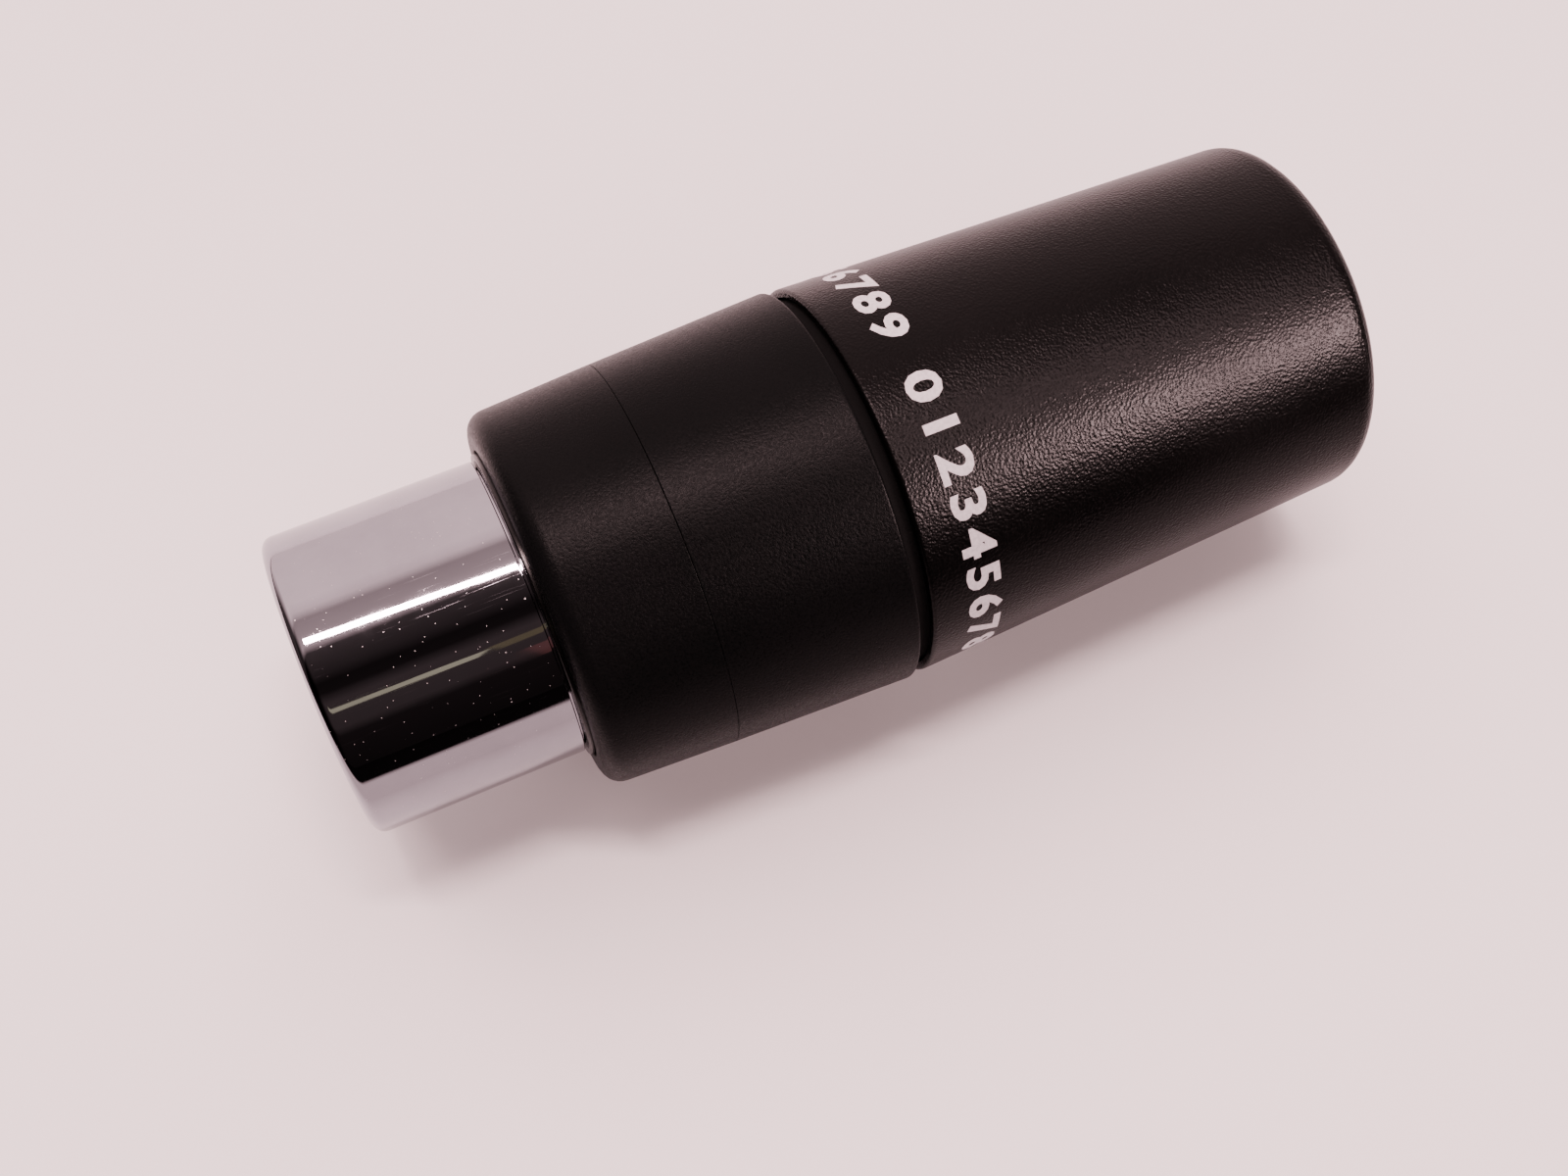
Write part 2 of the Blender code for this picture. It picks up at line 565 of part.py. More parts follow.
def battery_cover(datum):
    end_r = COVER_REAR_RADIUS - COVER_END_RADIUS
    end_z = TOTAL_LENGTH - COVER_END_RADIUS
    edge_r = COVER_FRONT_RADIUS - COVER_EDGE_RADIUS
    edge_z = COVER_FRONT + COVER_EDGE_RADIUS
    guide_end = FLANGE_REAR + COVER_SPIGOT_LENGTH + SEAT_GAP
    inner_r = COVER_END_BORE - COVER_FLOOR_RADIUS
    inner_z = COVER_FLOOR - COVER_FLOOR_RADIUS
    outline = arc(edge_r, edge_z, COVER_EDGE_RADIUS, -90.0, 0.0, 3)
    outline += arc(end_r, end_z, COVER_END_RADIUS, 0.0, 90.0, 6)
    outline += [(0.0, TOTAL_LENGTH), (0.0, COVER_FLOOR)]
    outline += arc(inner_r, inner_z, COVER_FLOOR_RADIUS, 90.0, 0.0, 3)
    outline += [
        (COVER_BORE, guide_end),
        (COVER_BORE, FLANGE_REAR + SEAT_GAP),
        (FLANGE_CLEAR_RADIUS, FLANGE_REAR + SEAT_GAP),
        (FLANGE_CLEAR_RADIUS, COVER_FRONT),
    ]
    turned("battery_cover", outline, "grained_black", datum)

    pad_radius = COVER_END_BORE - PAD_MARGIN
    pad = [(0.0, PAD_FRONT), (pad_radius, PAD_FRONT), (pad_radius, PAD_REAR), (0.0, PAD_REAR)]
    turned("cover_pad", pad, "foam", datum, sides=24, closed=False)

    centre_r = COVER_SPIGOT_RADIUS - O_RING_SINK
    centre_z = FLANGE_REAR + O_RING_GROOVE_OFFSET + O_RING_GROOVE_WIDTH / 2
    last_deg = 360.0 - 360.0 / O_RING_STEPS
    section = arc(centre_r, centre_z, O_RING_SECTION, 0.0, last_deg, O_RING_STEPS - 1)
    turned("cover_o_ring", section, "rubber", datum, sides=RING_SIDES)


def battery_tray(datum):
    tray = turned("battery_tray", annulus(LEAD_HOLE_RADIUS, TRAY_RADIUS, TRAY_FRONT, TRAY_REAR),
                  "flat_black", datum, sides=RING_SIDES)
    rails = bmesh.new()
    rail_end = BATTERY_FRONT + BATTERY_LENGTH * RAIL_COVERAGE
    root = TRAY_FRONT + TRAY_THICKNESS / 2
    rail_y = BATTERY_WIDTH / 2 + SEAT_GAP + RAIL_THICKNESS / 2
    for side in (-1.0, 1.0):
        centre = (0.0, side * rail_y, (root + rail_end) / 2)
        add_block(rails, (RAIL_HEIGHT, RAIL_THICKNESS, rail_end - root), centre)
    combine(tray, rails, "UNION", datum, "rails")
    holes = bmesh.new()
    for x, y in tray_screw_places():
        start, end = TRAY_FRONT - CUT_OVERSHOOT, TRAY_REAR + CUT_OVERSHOOT
        add_rod(holes, SCREW_HOLE_RADIUS, start, end, x, y, SCREW_SIDES)
    combine(tray, holes, "DIFFERENCE", datum, "holes")

    for i, (x, y) in enumerate(tray_screw_places()):
        screw(f"tray_screw_{i + 1}", x, y, TRAY_REAR + SEAT_GAP, -1.0, BULKHEAD_FRONT, datum)


def screw(name, x, y, seat, side, tip, datum):
    """A screw whose head rests on the seat station and whose shank runs to the tip station."""
    head_end = seat - side * SCREW_HEAD_HEIGHT
    outline = [
        (0.0, tip),
        (SCREW_RADIUS, tip),
        (SCREW_RADIUS, seat),
        (SCREW_HEAD_RADIUS, seat),
        (SCREW_HEAD_RADIUS, head_end + side * SCREW_HEAD_CHAMFER),
        (SCREW_HEAD_RADIUS - SCREW_HEAD_CHAMFER, head_end),
        (0.0, head_end),
    ]
    turned(name, outline, "steel", datum, sides=SCREW_SIDES, closed=False, at=(x, y, 0.0))


def battery(datum):
    case = bmesh.new()
    middle = (BATTERY_FRONT + BATTERY_REAR) / 2
    add_block(case, (BATTERY_HEIGHT, BATTERY_WIDTH, BATTERY_LENGTH), (0.0, 0.0, middle))
    round_corners(case, BATTERY_EDGE_RADIUS)
    place("battery", case, "battery_wrap", datum)

    half = TERMINAL_SPACING / 2
    snaps = {
        "terminal_stud": (STUD_RADIUS, SMALL_SIDES, TERMINAL_FRONT, TERMINAL_REAR, -half, "steel"),
        "terminal_socket": (SOCKET_RADIUS, 6, TERMINAL_FRONT, TERMINAL_REAR, half, "steel"),
        "contact_socket": (SOCKET_RADIUS, 6, CONTACT_FRONT, CONTACT_REAR, -half, "brass"),
        "contact_stud": (STUD_RADIUS, SMALL_SIDES, CONTACT_FRONT, CONTACT_REAR, half, "brass"),
    }
    for name, (radius, sides, front, rear, y, kind) in snaps.items():
        snap = bmesh.new()
        add_rod(snap, radius, front, rear, 0.0, y, sides)
        place(name, snap, kind, datum)

    plate = bmesh.new()
    centre = (0.0, 0.0, (CONNECTOR_FRONT + CONNECTOR_REAR) / 2)
    add_block(plate, (CONNECTOR_HEIGHT, CONNECTOR_WIDTH, CONNECTOR_THICKNESS), centre)
    round_corners(plate, CONNECTOR_CORNER)
    place("snap_connector", plate, "rubber", datum)


def battery_leads(datum):
    """Two wires from the snap connector, through the bulkhead, to the back of the video board."""
    for name, kind, side in (("lead_positive", "red_plastic", 1.0), ("lead_negative", "rubber", -1.0)):
        start = CONNECTOR_FRONT - SEAT_GAP
        end = VIDEO_BOARD_REAR + SEAT_GAP
        near = side * LEAD_PITCH
        far = side * (LEAD_HOLE_RADIUS - LEAD_RADIUS - LEAD_PLAY)
        route = [(near, start)]
        for outward, forward in LEAD_BENDS:
            x = near + (far - near) * outward
            route.append((x, BULKHEAD_FRONT - (BULKHEAD_FRONT - end) * forward))
        curve = bpy.data.curves.new(name, "CURVE")
        curve.dimensions = "3D"
        curve.bevel_depth = LEAD_RADIUS * MM
        curve.bevel_resolution = 2
        curve.use_fill_caps = True
        spline = curve.splines.new("POLY")
        spline.points.add(len(route) - 1)
        for point, (x, z) in zip(spline.points, route):
            point.co = (x * MM, 0.0, z * MM, 1.0)
        curve.materials.append(finish(name, kind))
        lead = bpy.data.objects.new(name, curve)
        bpy.context.scene.collection.objects.link(lead)
        lead.parent = datum


def circuit_board(name, front, rear, datum):
    board = turned(name, [(0.0, front), (BOARD_RADIUS, front), (BOARD_RADIUS, rear), (0.0, rear)],
                   "board_green", datum, sides=RING_SIDES, closed=False)
    holes = bmesh.new()
    for x, y in board_screw_places():
        start, end = front - CUT_OVERSHOOT, rear + CUT_OVERSHOOT
        add_rod(holes, SCREW_HOLE_RADIUS, start, end, x, y, SCREW_SIDES)
    combine(board, holes, "DIFFERENCE", datum, "holes")


def camera_boards(datum):
    circuit_board("sensor_board", SENSOR_BOARD_FRONT, SENSOR_BOARD_REAR, datum)
    circuit_board("video_board", VIDEO_BOARD_FRONT, VIDEO_BOARD_REAR, datum)

    runs = {
        "front_spacer": (SENSOR_BOARD_REAR + SEAT_GAP, VIDEO_BOARD_FRONT - SEAT_GAP),
        "rear_spacer": (VIDEO_BOARD_REAR + SEAT_GAP, BULKHEAD_FRONT - SEAT_GAP),
    }
    for i, (x, y) in enumerate(board_screw_places()):
        for name, (front, rear) in runs.items():
            sleeve = annulus(SCREW_HOLE_RADIUS, SPACER_RADIUS, front, rear)
            turned(f"{name}_{i + 1}", sleeve, "brass", datum, sides=SCREW_SIDES, at=(x, y, 0.0))
        screw(f"board_screw_{i + 1}", x, y, SENSOR_BOARD_FRONT - SEAT_GAP, 1.0, BULKHEAD_REAR, datum)


def sensor_stack(datum):
    sensor_rear = SENSOR_BOARD_FRONT - SEAT_GAP
    sensor_front = sensor_rear - SENSOR_THICKNESS
    sensor = bmesh.new()
    sensor_middle = (sensor_front + sensor_rear) / 2
    add_block(sensor, (SENSOR_SIZE, SENSOR_SIZE, SENSOR_THICKNESS), (0.0, 0.0, sensor_middle))
    place("image_sensor", sensor, "ceramic", datum)

    glass_rear = sensor_front - SEAT_GAP
    glass = bmesh.new()
    size = (SENSOR_GLASS_SIZE, SENSOR_GLASS_SIZE, SENSOR_GLASS_THICKNESS)
    add_block(glass, size, (0.0, 0.0, glass_rear - SENSOR_GLASS_THICKNESS / 2))
    place("sensor_glass", glass, "glass", datum)

    front = sensor_rear - SHROUD_HEIGHT
    inner = SHROUD_RADIUS - SHROUD_WALL
    shroud = [
        (SHROUD_APERTURE, front),
        (SHROUD_RADIUS, front),
        (SHROUD_RADIUS, sensor_rear),
        (inner, sensor_rear),
        (inner, front + SHROUD_WALL),
        (SHROUD_APERTURE, front + SHROUD_WALL),
    ]
    turned("sensor_shroud", shroud, "flat_black", datum, sides=RING_SIDES)


def board_parts(datum):
    """What stands on the video board."""
    rear = VIDEO_BOARD_FRONT - SEAT_GAP
    chip = bmesh.new()
    chip_middle = VIDEO_BOARD_REAR + SEAT_GAP + PROCESSOR_THICKNESS / 2
    chip_size = (PROCESSOR_SIZE, PROCESSOR_SIZE, PROCESSOR_THICKNESS)
    add_block(chip, chip_size, (0.0, PROCESSOR_OFFSET, chip_middle))
    place("processor_chip", chip, "flat_black", datum)

    can_front = rear - (BOARD_SPACING - 2 * SEAT_GAP - CAPACITOR_HEADROOM)
    can_y = CAPACITOR_RADIUS + SEAT_GAP
    for i, y in enumerate((-can_y, can_y)):
        can = bmesh.new()
        add_rod(can, CAPACITOR_RADIUS, can_front, rear, CAPACITOR_OFFSET, y, PIN_SIDES)
        place(f"capacitor_{i + 1}", can, "aluminium", datum)

    crystal = bmesh.new()
    centre = (-CRYSTAL_OFFSET, 0.0, rear - CRYSTAL_HEIGHT / 2)
    add_block(crystal, (CRYSTAL_WIDTH, CRYSTAL_LENGTH, CRYSTAL_HEIGHT), centre)
    round_corners(crystal, CRYSTAL_CORNER)
    place("crystal_can", crystal, "aluminium", datum)

    header = bmesh.new()
    front = SENSOR_BOARD_REAR + SEAT_GAP
    middle = (front + rear) / 2
    add_block(header, (HEADER_LENGTH, HEADER_WIDTH, rear - front), (0.0, -HEADER_OFFSET, middle))
    place("board_header", header, "flat_black", datum)


def video_socket(datum):
    """A small jack that opens through the front shell, along local +Y."""
    station = SHELL_FACE + JACK_STATION
    body_outer = TUBE_BORE - JACK_BODY_GAP
    body_inner = body_outer - JACK_BODY_DEPTH
    body = bmesh.new()
    size = (JACK_BODY_SIDE, JACK_BODY_DEPTH, JACK_BODY_SIDE)
    add_block(body, size, (0.0, (body_outer + body_inner) / 2, station))
    jack = place("socket_body", body, "flat_black", datum)
    bore = bmesh.new()
    inner, outer = body_outer - JACK_BORE_DEPTH, body_outer + CUT_OVERSHOOT
    radial_rod(bore, JACK_BORE_RADIUS, inner, outer, station, JACK_DEG, PIN_SIDES)
    combine(jack, bore, "DIFFERENCE", datum, "bore")

    mouth = shell_radius(station) - JACK_RECESS
    bush = bmesh.new()
    spin_outline(bush, annulus(JACK_BORE_RADIUS, JACK_BUSH_RADIUS, body_outer + SEAT_GAP, mouth), SMALL_SIDES)
    turn = Matrix.Rotation(math.radians(-90.0), 3, "X")
    bmesh.ops.rotate(bush, verts=bush.verts, cent=(0.0, 0.0, 0.0), matrix=turn)
    bmesh.ops.translate(bush, verts=bush.verts, vec=(0.0, 0.0, station))
    place("socket_bush", bush, "brass", datum)


def build():
    clear_scene()
    datum = make_datum()
    nosepiece(datum)
    body_tube(datum)
    front_shell(datum)
    contrast_ring(datum)
    contrast_control(datum)
    battery_cover(datum)
    battery_tray(datum)
    battery(datum)
    battery_leads(datum)
    camera_boards(datum)
    sensor_stack(datum)
    board_parts(datum)
    video_socket(datum)


build()
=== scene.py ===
import math

import bmesh
import bpy
from mathutils import Matrix, Vector


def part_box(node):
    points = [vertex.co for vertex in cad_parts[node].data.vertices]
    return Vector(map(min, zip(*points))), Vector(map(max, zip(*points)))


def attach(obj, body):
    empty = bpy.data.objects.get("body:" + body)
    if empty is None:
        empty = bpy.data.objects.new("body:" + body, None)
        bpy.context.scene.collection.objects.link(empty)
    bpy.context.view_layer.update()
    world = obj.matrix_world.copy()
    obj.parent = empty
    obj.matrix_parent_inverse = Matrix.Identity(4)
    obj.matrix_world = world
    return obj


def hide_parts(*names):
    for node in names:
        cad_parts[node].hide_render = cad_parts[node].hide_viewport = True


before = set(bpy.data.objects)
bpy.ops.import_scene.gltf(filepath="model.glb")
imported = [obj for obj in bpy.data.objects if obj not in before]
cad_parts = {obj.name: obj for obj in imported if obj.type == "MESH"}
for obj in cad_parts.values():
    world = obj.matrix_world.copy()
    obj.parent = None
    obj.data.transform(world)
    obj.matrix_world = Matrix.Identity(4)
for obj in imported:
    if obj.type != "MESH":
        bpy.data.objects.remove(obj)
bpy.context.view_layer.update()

# The looks of an electronic eyepiece that lies on a pale table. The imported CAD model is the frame: the
# turned shells are made again round the same axis with finer edges, and every piece gets its material.
# Stations run along +X from the nose rim, radii from the optical axis. Everything is in metres.

MM = 0.001
RIM_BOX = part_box("nosepiece_barrel")
NOSE_X = RIM_BOX[0].x
AXIS_Z = (RIM_BOX[0].z + RIM_BOX[1].z) / 2
SIDES = 240
PAD_SIDES = 96
CUTTER_SIDES = 64
EDGE_STEPS = 7
SUPPORT = 0.12 * MM         # how far from an edge a long face gets its support loop
MERGE = 1e-7                # points closer than this are one point
SHARP_ANGLE = 32.0          # edges that turn more than this, in degrees, stay crisp
CLEARANCE = 0.3 * MM        # gap between fitted pieces
SMALL_FILLET = 0.1 * MM

# Camera: where it stands from the centre of the nose rim, and how it looks
CAMERA_FROM_RIM = Vector((13.07, -84.45, 162.85)) * MM
CAMERA_AZIMUTH = -24.23
CAMERA_ELEVATION = 63.02
CAMERA_LENS = 40.65
SENSOR_WIDTH = 36.0
NEAR_CLIP = 5.0 * MM

FLOOR_SIZE = 1.8
KEY_TURN = -28.0            # the overhead soft box hangs askew to the eyepiece
TINT = (1.0, 0.68, 0.685)   # the white balance leans to pink
WARM_TINT = (1.0, 0.88, 0.60)
OLIVE_TINT = (1.0, 0.78, 0.32)
RED_TINT = (1.0, 0.26, 0.24)


def add_object(name, data):
    obj = bpy.data.objects.new(name, data)
    bpy.context.scene.collection.objects.link(obj)
    return obj


# ---------------------------------------------------------------- camera, floor, light

def add_camera():
    data = bpy.data.cameras.new("camera")
    data.lens = CAMERA_LENS
    data.sensor_width = SENSOR_WIDTH
    data.clip_start = NEAR_CLIP
    camera = add_object("camera", data)
    camera.location = Vector((NOSE_X, 0.0, AXIS_Z)) + CAMERA_FROM_RIM
    camera.rotation_euler = (math.radians(90.0 - CAMERA_ELEVATION), 0.0, math.radians(CAMERA_AZIMUTH))
    bpy.context.scene.camera = camera


def add_area(name, place, width, height, radiance, colour):
    """A soft box that faces the middle of the eyepiece; its radiance is per unit of area and angle."""
    data = bpy.data.lights.new(name, "AREA")
    data.shape = "RECTANGLE"
    data.size = width
    data.size_y = height
    data.energy = radiance * math.pi * width * height
    data.color = colour
    lamp = add_object(name, data)
    lamp.location = Vector(place)
    outward = lamp.location - Vector((0.0, 0.0, AXIS_Z))
    lamp.rotation_euler = outward.to_track_quat("Z", "Y").to_euler()
    return lamp


# Soft boxes: name, place, width, height, radiance and tint. The key does everything, the sheens show
# only in glossy surfaces, and the fills light only the matt ones.
KEY = ("key_overhead", (0.03, 0.030, 1.0), 0.42, 0.062, 120.0, TINT)
SHEENS = [
    ("window_right", (0.50, -0.57, 0.47), 0.26, 0.165, 125.0, TINT),
    ("window_upper", (0.42, -0.42, 0.66), 0.30, 0.24, 5.0, TINT),
    ("key_far_end", (0.45, -0.29, 0.95), 0.30, 0.10, 30.0, TINT),
    ("warm_strip", (-0.15, -0.60, 0.62), 0.26, 0.045, 0.55, WARM_TINT),
    ("olive_strip", (0.11, -0.60, 0.62), 0.26, 0.06, 0.12, OLIVE_TINT),
    ("red_patch", (0.10, -0.70, 0.45), 0.20, 0.13, 0.12, RED_TINT),
]
FILLS = [
    ("far_fill", (0.0, 0.55, 1.3), 1.6, 1.6, 4.6, TINT),
    ("near_fill", (0.0, -0.9, 0.9), 1.3, 1.1, 2.6, TINT),
]


def add_lights():
    key = add_area(*KEY)
    key.rotation_euler = (0.0, 0.0, math.radians(KEY_TURN))
    for sheen in SHEENS:
        add_area(*sheen).visible_diffuse = False
    for fill in FILLS:
        add_area(*fill).visible_glossy = False


HALF_TURN = 180.0
BACKDROP_STRENGTH = 2.6     # where the camera looks past the table
# Brightness of the room by its angle from the far horizon, over the top, to the near horizon
ROOM_STOPS = [
    (0.0, 1.7), (52.0, 1.9), (60.0, 1.6), (67.0, 0.62), (78.0, 0.75), (86.0, 0.95), (92.0, 0.09),
    (108.0, 0.045), (115.0, 0.014), (122.0, 0.016), (130.0, 0.08), (149.0, 0.065), (155.0, 0.018),
    (180.0, 0.012),
]
# The room is dim beyond the nose: the direction's X from, to, and the share of brightness at each
NOSE_SIDE_FADE = (-0.80, -0.45, 0.05, 1.0)


def add_world():
    """Bright behind the eyepiece, dark on the camera's side, and plain pale where the camera sees it."""
    world = bpy.data.worlds.new("studio")
    world.use_nodes = True
    bpy.context.scene.world = world
    tree = world.node_tree
    tree.nodes.clear()
    make = tree.nodes.new
    link = tree.links.new
    split = make("ShaderNodeSeparateXYZ")
    link(make("ShaderNodeTexCoord").outputs["Generated"], split.inputs[0])
    height = make("ShaderNodeMath")
    height.operation = "ABSOLUTE"
    link(split.outputs["Z"], height.inputs[0])
    climb = make("ShaderNodeMath")
    climb.operation = "ARCTAN2"
    link(height.outputs[0], climb.inputs[0])
    link(split.outputs["Y"], climb.inputs[1])
    share = make("ShaderNodeMath")
    share.operation = "DIVIDE"
    link(climb.outputs[0], share.inputs[0])
    share.inputs[1].default_value = math.pi
    ramp = make("ShaderNodeValToRGB")
    link(share.outputs[0], ramp.inputs[0])
    stops = ramp.color_ramp.elements
    for angle, _ in ROOM_STOPS[1:-1]:
        stops.new(angle / HALF_TURN)
    for stop, (_, value) in zip(stops, ROOM_STOPS):
        stop.color = (value, value * TINT[1], value * TINT[2], 1.0)
    room = make("ShaderNodeBackground")
    link(ramp.outputs[0], room.inputs["Color"])
    nose_side = make("ShaderNodeMapRange")
    link(split.outputs["X"], nose_side.inputs["Value"])
    for socket, value in zip(("From Min", "From Max", "To Min", "To Max"), NOSE_SIDE_FADE):
        nose_side.inputs[socket].default_value = value
    link(nose_side.outputs["Result"], room.inputs["Strength"])
    plain = make("ShaderNodeBackground")
    plain.inputs["Color"].default_value = (*TINT, 1.0)
    plain.inputs["Strength"].default_value = BACKDROP_STRENGTH
    mix = make("ShaderNodeMixShader")
    link(make("ShaderNodeLightPath").outputs["Is Camera Ray"], mix.inputs[0])
    link(room.outputs[0], mix.inputs[1])
    link(plain.outputs[0], mix.inputs[2])
    link(mix.outputs[0], make("ShaderNodeOutputWorld").inputs["Surface"])


def add_floor(mat):
    mesh = bpy.data.meshes.new("table_top")
    half = FLOOR_SIZE / 2
    corners = [(-half, -half, 0.0), (half, -half, 0.0), (half, half, 0.0), (-half, half, 0.0)]
    mesh.from_pydata(corners, [], [(0, 1, 2, 3)])
    mesh.materials.append(mat)
    floor = add_object("table_top", mesh)


# ---------------------------------------------------------------- materials

class Recipe:
    """A Principled material, and short ways to add nodes to it."""

    def __init__(self, name, colour, roughness, metallic=0.0, specular=0.5):
        self.mat = bpy.data.materials.new(name)
        self.mat.use_nodes = True
        self.tree = self.mat.node_tree
        self.shader = self.tree.nodes["Principled BSDF"]
        self.set("Base Color", (*colour, 1.0))
        self.set("Roughness", roughness)
        self.set("Metallic", metallic)
        self.set("Specular IOR Level", specular)
        self.place = self.tree.nodes.new("ShaderNodeTexCoord").outputs["Object"]

    def set(self, socket, value):
        self.shader.inputs[socket].default_value = value

    def link(self, output, socket):
        self.tree.links.new(output, socket)

    def stretched(self, scale):
        """Object coordinates, scaled differently along each axis."""
        node = self.tree.nodes.new("ShaderNodeMapping")
        node.inputs["Scale"].default_value = scale
        self.link(self.place, node.inputs["Vector"])
        return node.outputs["Vector"]

    def split(self):
        node = self.tree.nodes.new("ShaderNodeSeparateXYZ")
        self.link(self.place, node.inputs[0])
        return node.outputs

    def noise(self, scale, detail=2.0, roughness=0.5, vector=None):
        node = self.tree.nodes.new("ShaderNodeTexNoise")
        node.inputs["Scale"].default_value = scale
        node.inputs["Detail"].default_value = detail
        node.inputs["Roughness"].default_value = roughness
        self.link(vector or self.place, node.inputs["Vector"])
        return node.outputs["Fac"]

    def cells(self, scale, feature="F1"):
        node = self.tree.nodes.new("ShaderNodeTexVoronoi")
        node.feature = feature
        node.inputs["Scale"].default_value = scale
        self.link(self.place, node.inputs["Vector"])
        return node.outputs["Distance"]

    def span(self, value, low, high, new_low, new_high):
        """Maps low..high of a value to new_low..new_high, clamped."""
        node = self.tree.nodes.new("ShaderNodeMapRange")
        node.inputs["From Min"].default_value = low
        node.inputs["From Max"].default_value = high
        node.inputs["To Min"].default_value = new_low
        node.inputs["To Max"].default_value = new_high
        self.link(value, node.inputs["Value"])
        return node.outputs["Result"]

    def maths(self, operation, *values):
        node = self.tree.nodes.new("ShaderNodeMath")
        node.operation = operation
        for socket, value in zip(node.inputs, values):
            if isinstance(value, float):
                socket.default_value = value
            else:
                self.link(value, socket)
        return node.outputs[0]

    def blend(self, factor, first, second):
        """A colour between two, by a factor; each colour is a tuple or a socket."""
        node = self.tree.nodes.new("ShaderNodeMix")
        node.data_type = "RGBA"
        self.link(factor, node.inputs[0])
        for socket, value in ((node.inputs[6], first), (node.inputs[7], second)):
            if isinstance(value, tuple):
                socket.default_value = (*value, 1.0)
            else:
                self.link(value, socket)
        return node.outputs[2]

    def colour(self, output):
        self.link(output, self.shader.inputs["Base Color"])

    def mottle(self, value, low, high, first, second):
        """The base colour goes from the first to the second as a value goes from low to high."""
        self.colour(self.blend(self.span(value, low, high, 0.0, 1.0), first, second))

    def rough(self, output):
        self.link(output, self.shader.inputs["Roughness"])

    def bump(self, height, distance, strength=1.0):
        """Adds relief; several calls stack."""
        node = self.tree.nodes.new("ShaderNodeBump")
        node.inputs["Distance"].default_value = distance
        node.inputs["Strength"].default_value = strength
        self.link(height, node.inputs["Height"])
        before = self.shader.inputs["Normal"]
        if before.is_linked:
            self.link(before.links[0].from_socket, node.inputs["Normal"])
        self.link(node.outputs["Normal"], before)

    def specks(self, spacing, radius, bare=0.56):
        """A mask of small dots, one at most in each cell of this spacing; bare is the share without."""
        dots = self.span(self.cells(1.0 / spacing), 0.6 * radius / spacing, radius / spacing, 1.0, 0.0)
        keep = self.span(self.noise(0.7 / spacing, 0.0), bare, bare + 0.04, 0.0, 1.0)
        return self.maths("MULTIPLY", dots, keep)


def satin_black():
    """Front shell and ring: a fine, even, matt grain with a little dust."""
    r = Recipe("satin_black_plastic", (0.0022, 0.0025, 0.0025), 0.32, specular=0.05)
    grain = r.noise(3700.0, 3.0, 0.6)
    patch = r.span(r.noise(60.0, 3.0, 0.5), 0.35, 0.65, 0.0, 1.0)
    tone = r.blend(patch, (0.0017, 0.0021, 0.0021), (0.0025, 0.0028, 0.0029))
    r.colour(r.blend(r.specks(3.4 * MM, 0.055 * MM), tone, (0.10, 0.095, 0.09)))
    r.rough(r.span(grain, 0.36, 0.68, 0.25, 0.42))
    r.bump(grain, 0.042 * MM, 1.0)
    return r.mat


def grained_black():
    """Battery cover: coarser pebbled grain with more sheen."""
    r = Recipe("grained_black_plastic", (0.0009, 0.0008, 0.0008), 0.30, specular=0.10)
    pebbles = r.cells(3900.0, "SMOOTH_F1")
    wander = r.noise(2600.0, 3.0, 0.55)
    patch = r.span(r.noise(45.0, 3.0, 0.5), 0.35, 0.65, 0.0, 1.0)
    tone = r.blend(patch, (0.0006, 0.0006, 0.0006), (0.0011, 0.0010, 0.0010))
    r.colour(r.blend(r.specks(5.2 * MM, 0.06 * MM), tone, (0.12, 0.11, 0.105)))
    r.rough(r.span(patch, 0.0, 1.0, 0.27, 0.33))
    r.bump(wander, 0.032 * MM, 0.7)
    r.bump(pebbles, 0.045 * MM, 1.0)
    return r.mat


def gloss_black():
    """The body tube's lip: bare moulded plastic, glossy, slightly wavy and smudged."""
    r = Recipe("gloss_black_plastic", (0.0010, 0.0010, 0.0010), 0.25, specular=0.4)
    smudge = r.noise(220.0, 4.0, 0.6)
    r.mottle(smudge, 0.4, 0.7, (0.0008, 0.0008, 0.0008), (0.0018, 0.0018, 0.0018))
    r.rough(r.span(smudge, 0.35, 0.7, 0.20, 0.30))
    r.bump(r.noise(420.0, 2.0), 0.02 * MM, 0.25)
    return r.mat


def flat_black():
    """Anti-reflection black of the bore, the covered tube, the sensor's shroud and the tray."""
    r = Recipe("flat_black_paint", (0.0024, 0.0026, 0.0026), 0.8, specular=0.06)
    grain = r.noise(3600.0, 3.0)
    r.mottle(grain, 0.35, 0.75, (0.0016, 0.0018, 0.0018), (0.0032, 0.0034, 0.0034))
    r.rough(r.span(grain, 0.3, 0.7, 0.7, 0.9))
    r.bump(grain, 0.03 * MM, 0.5)
    return r.mat


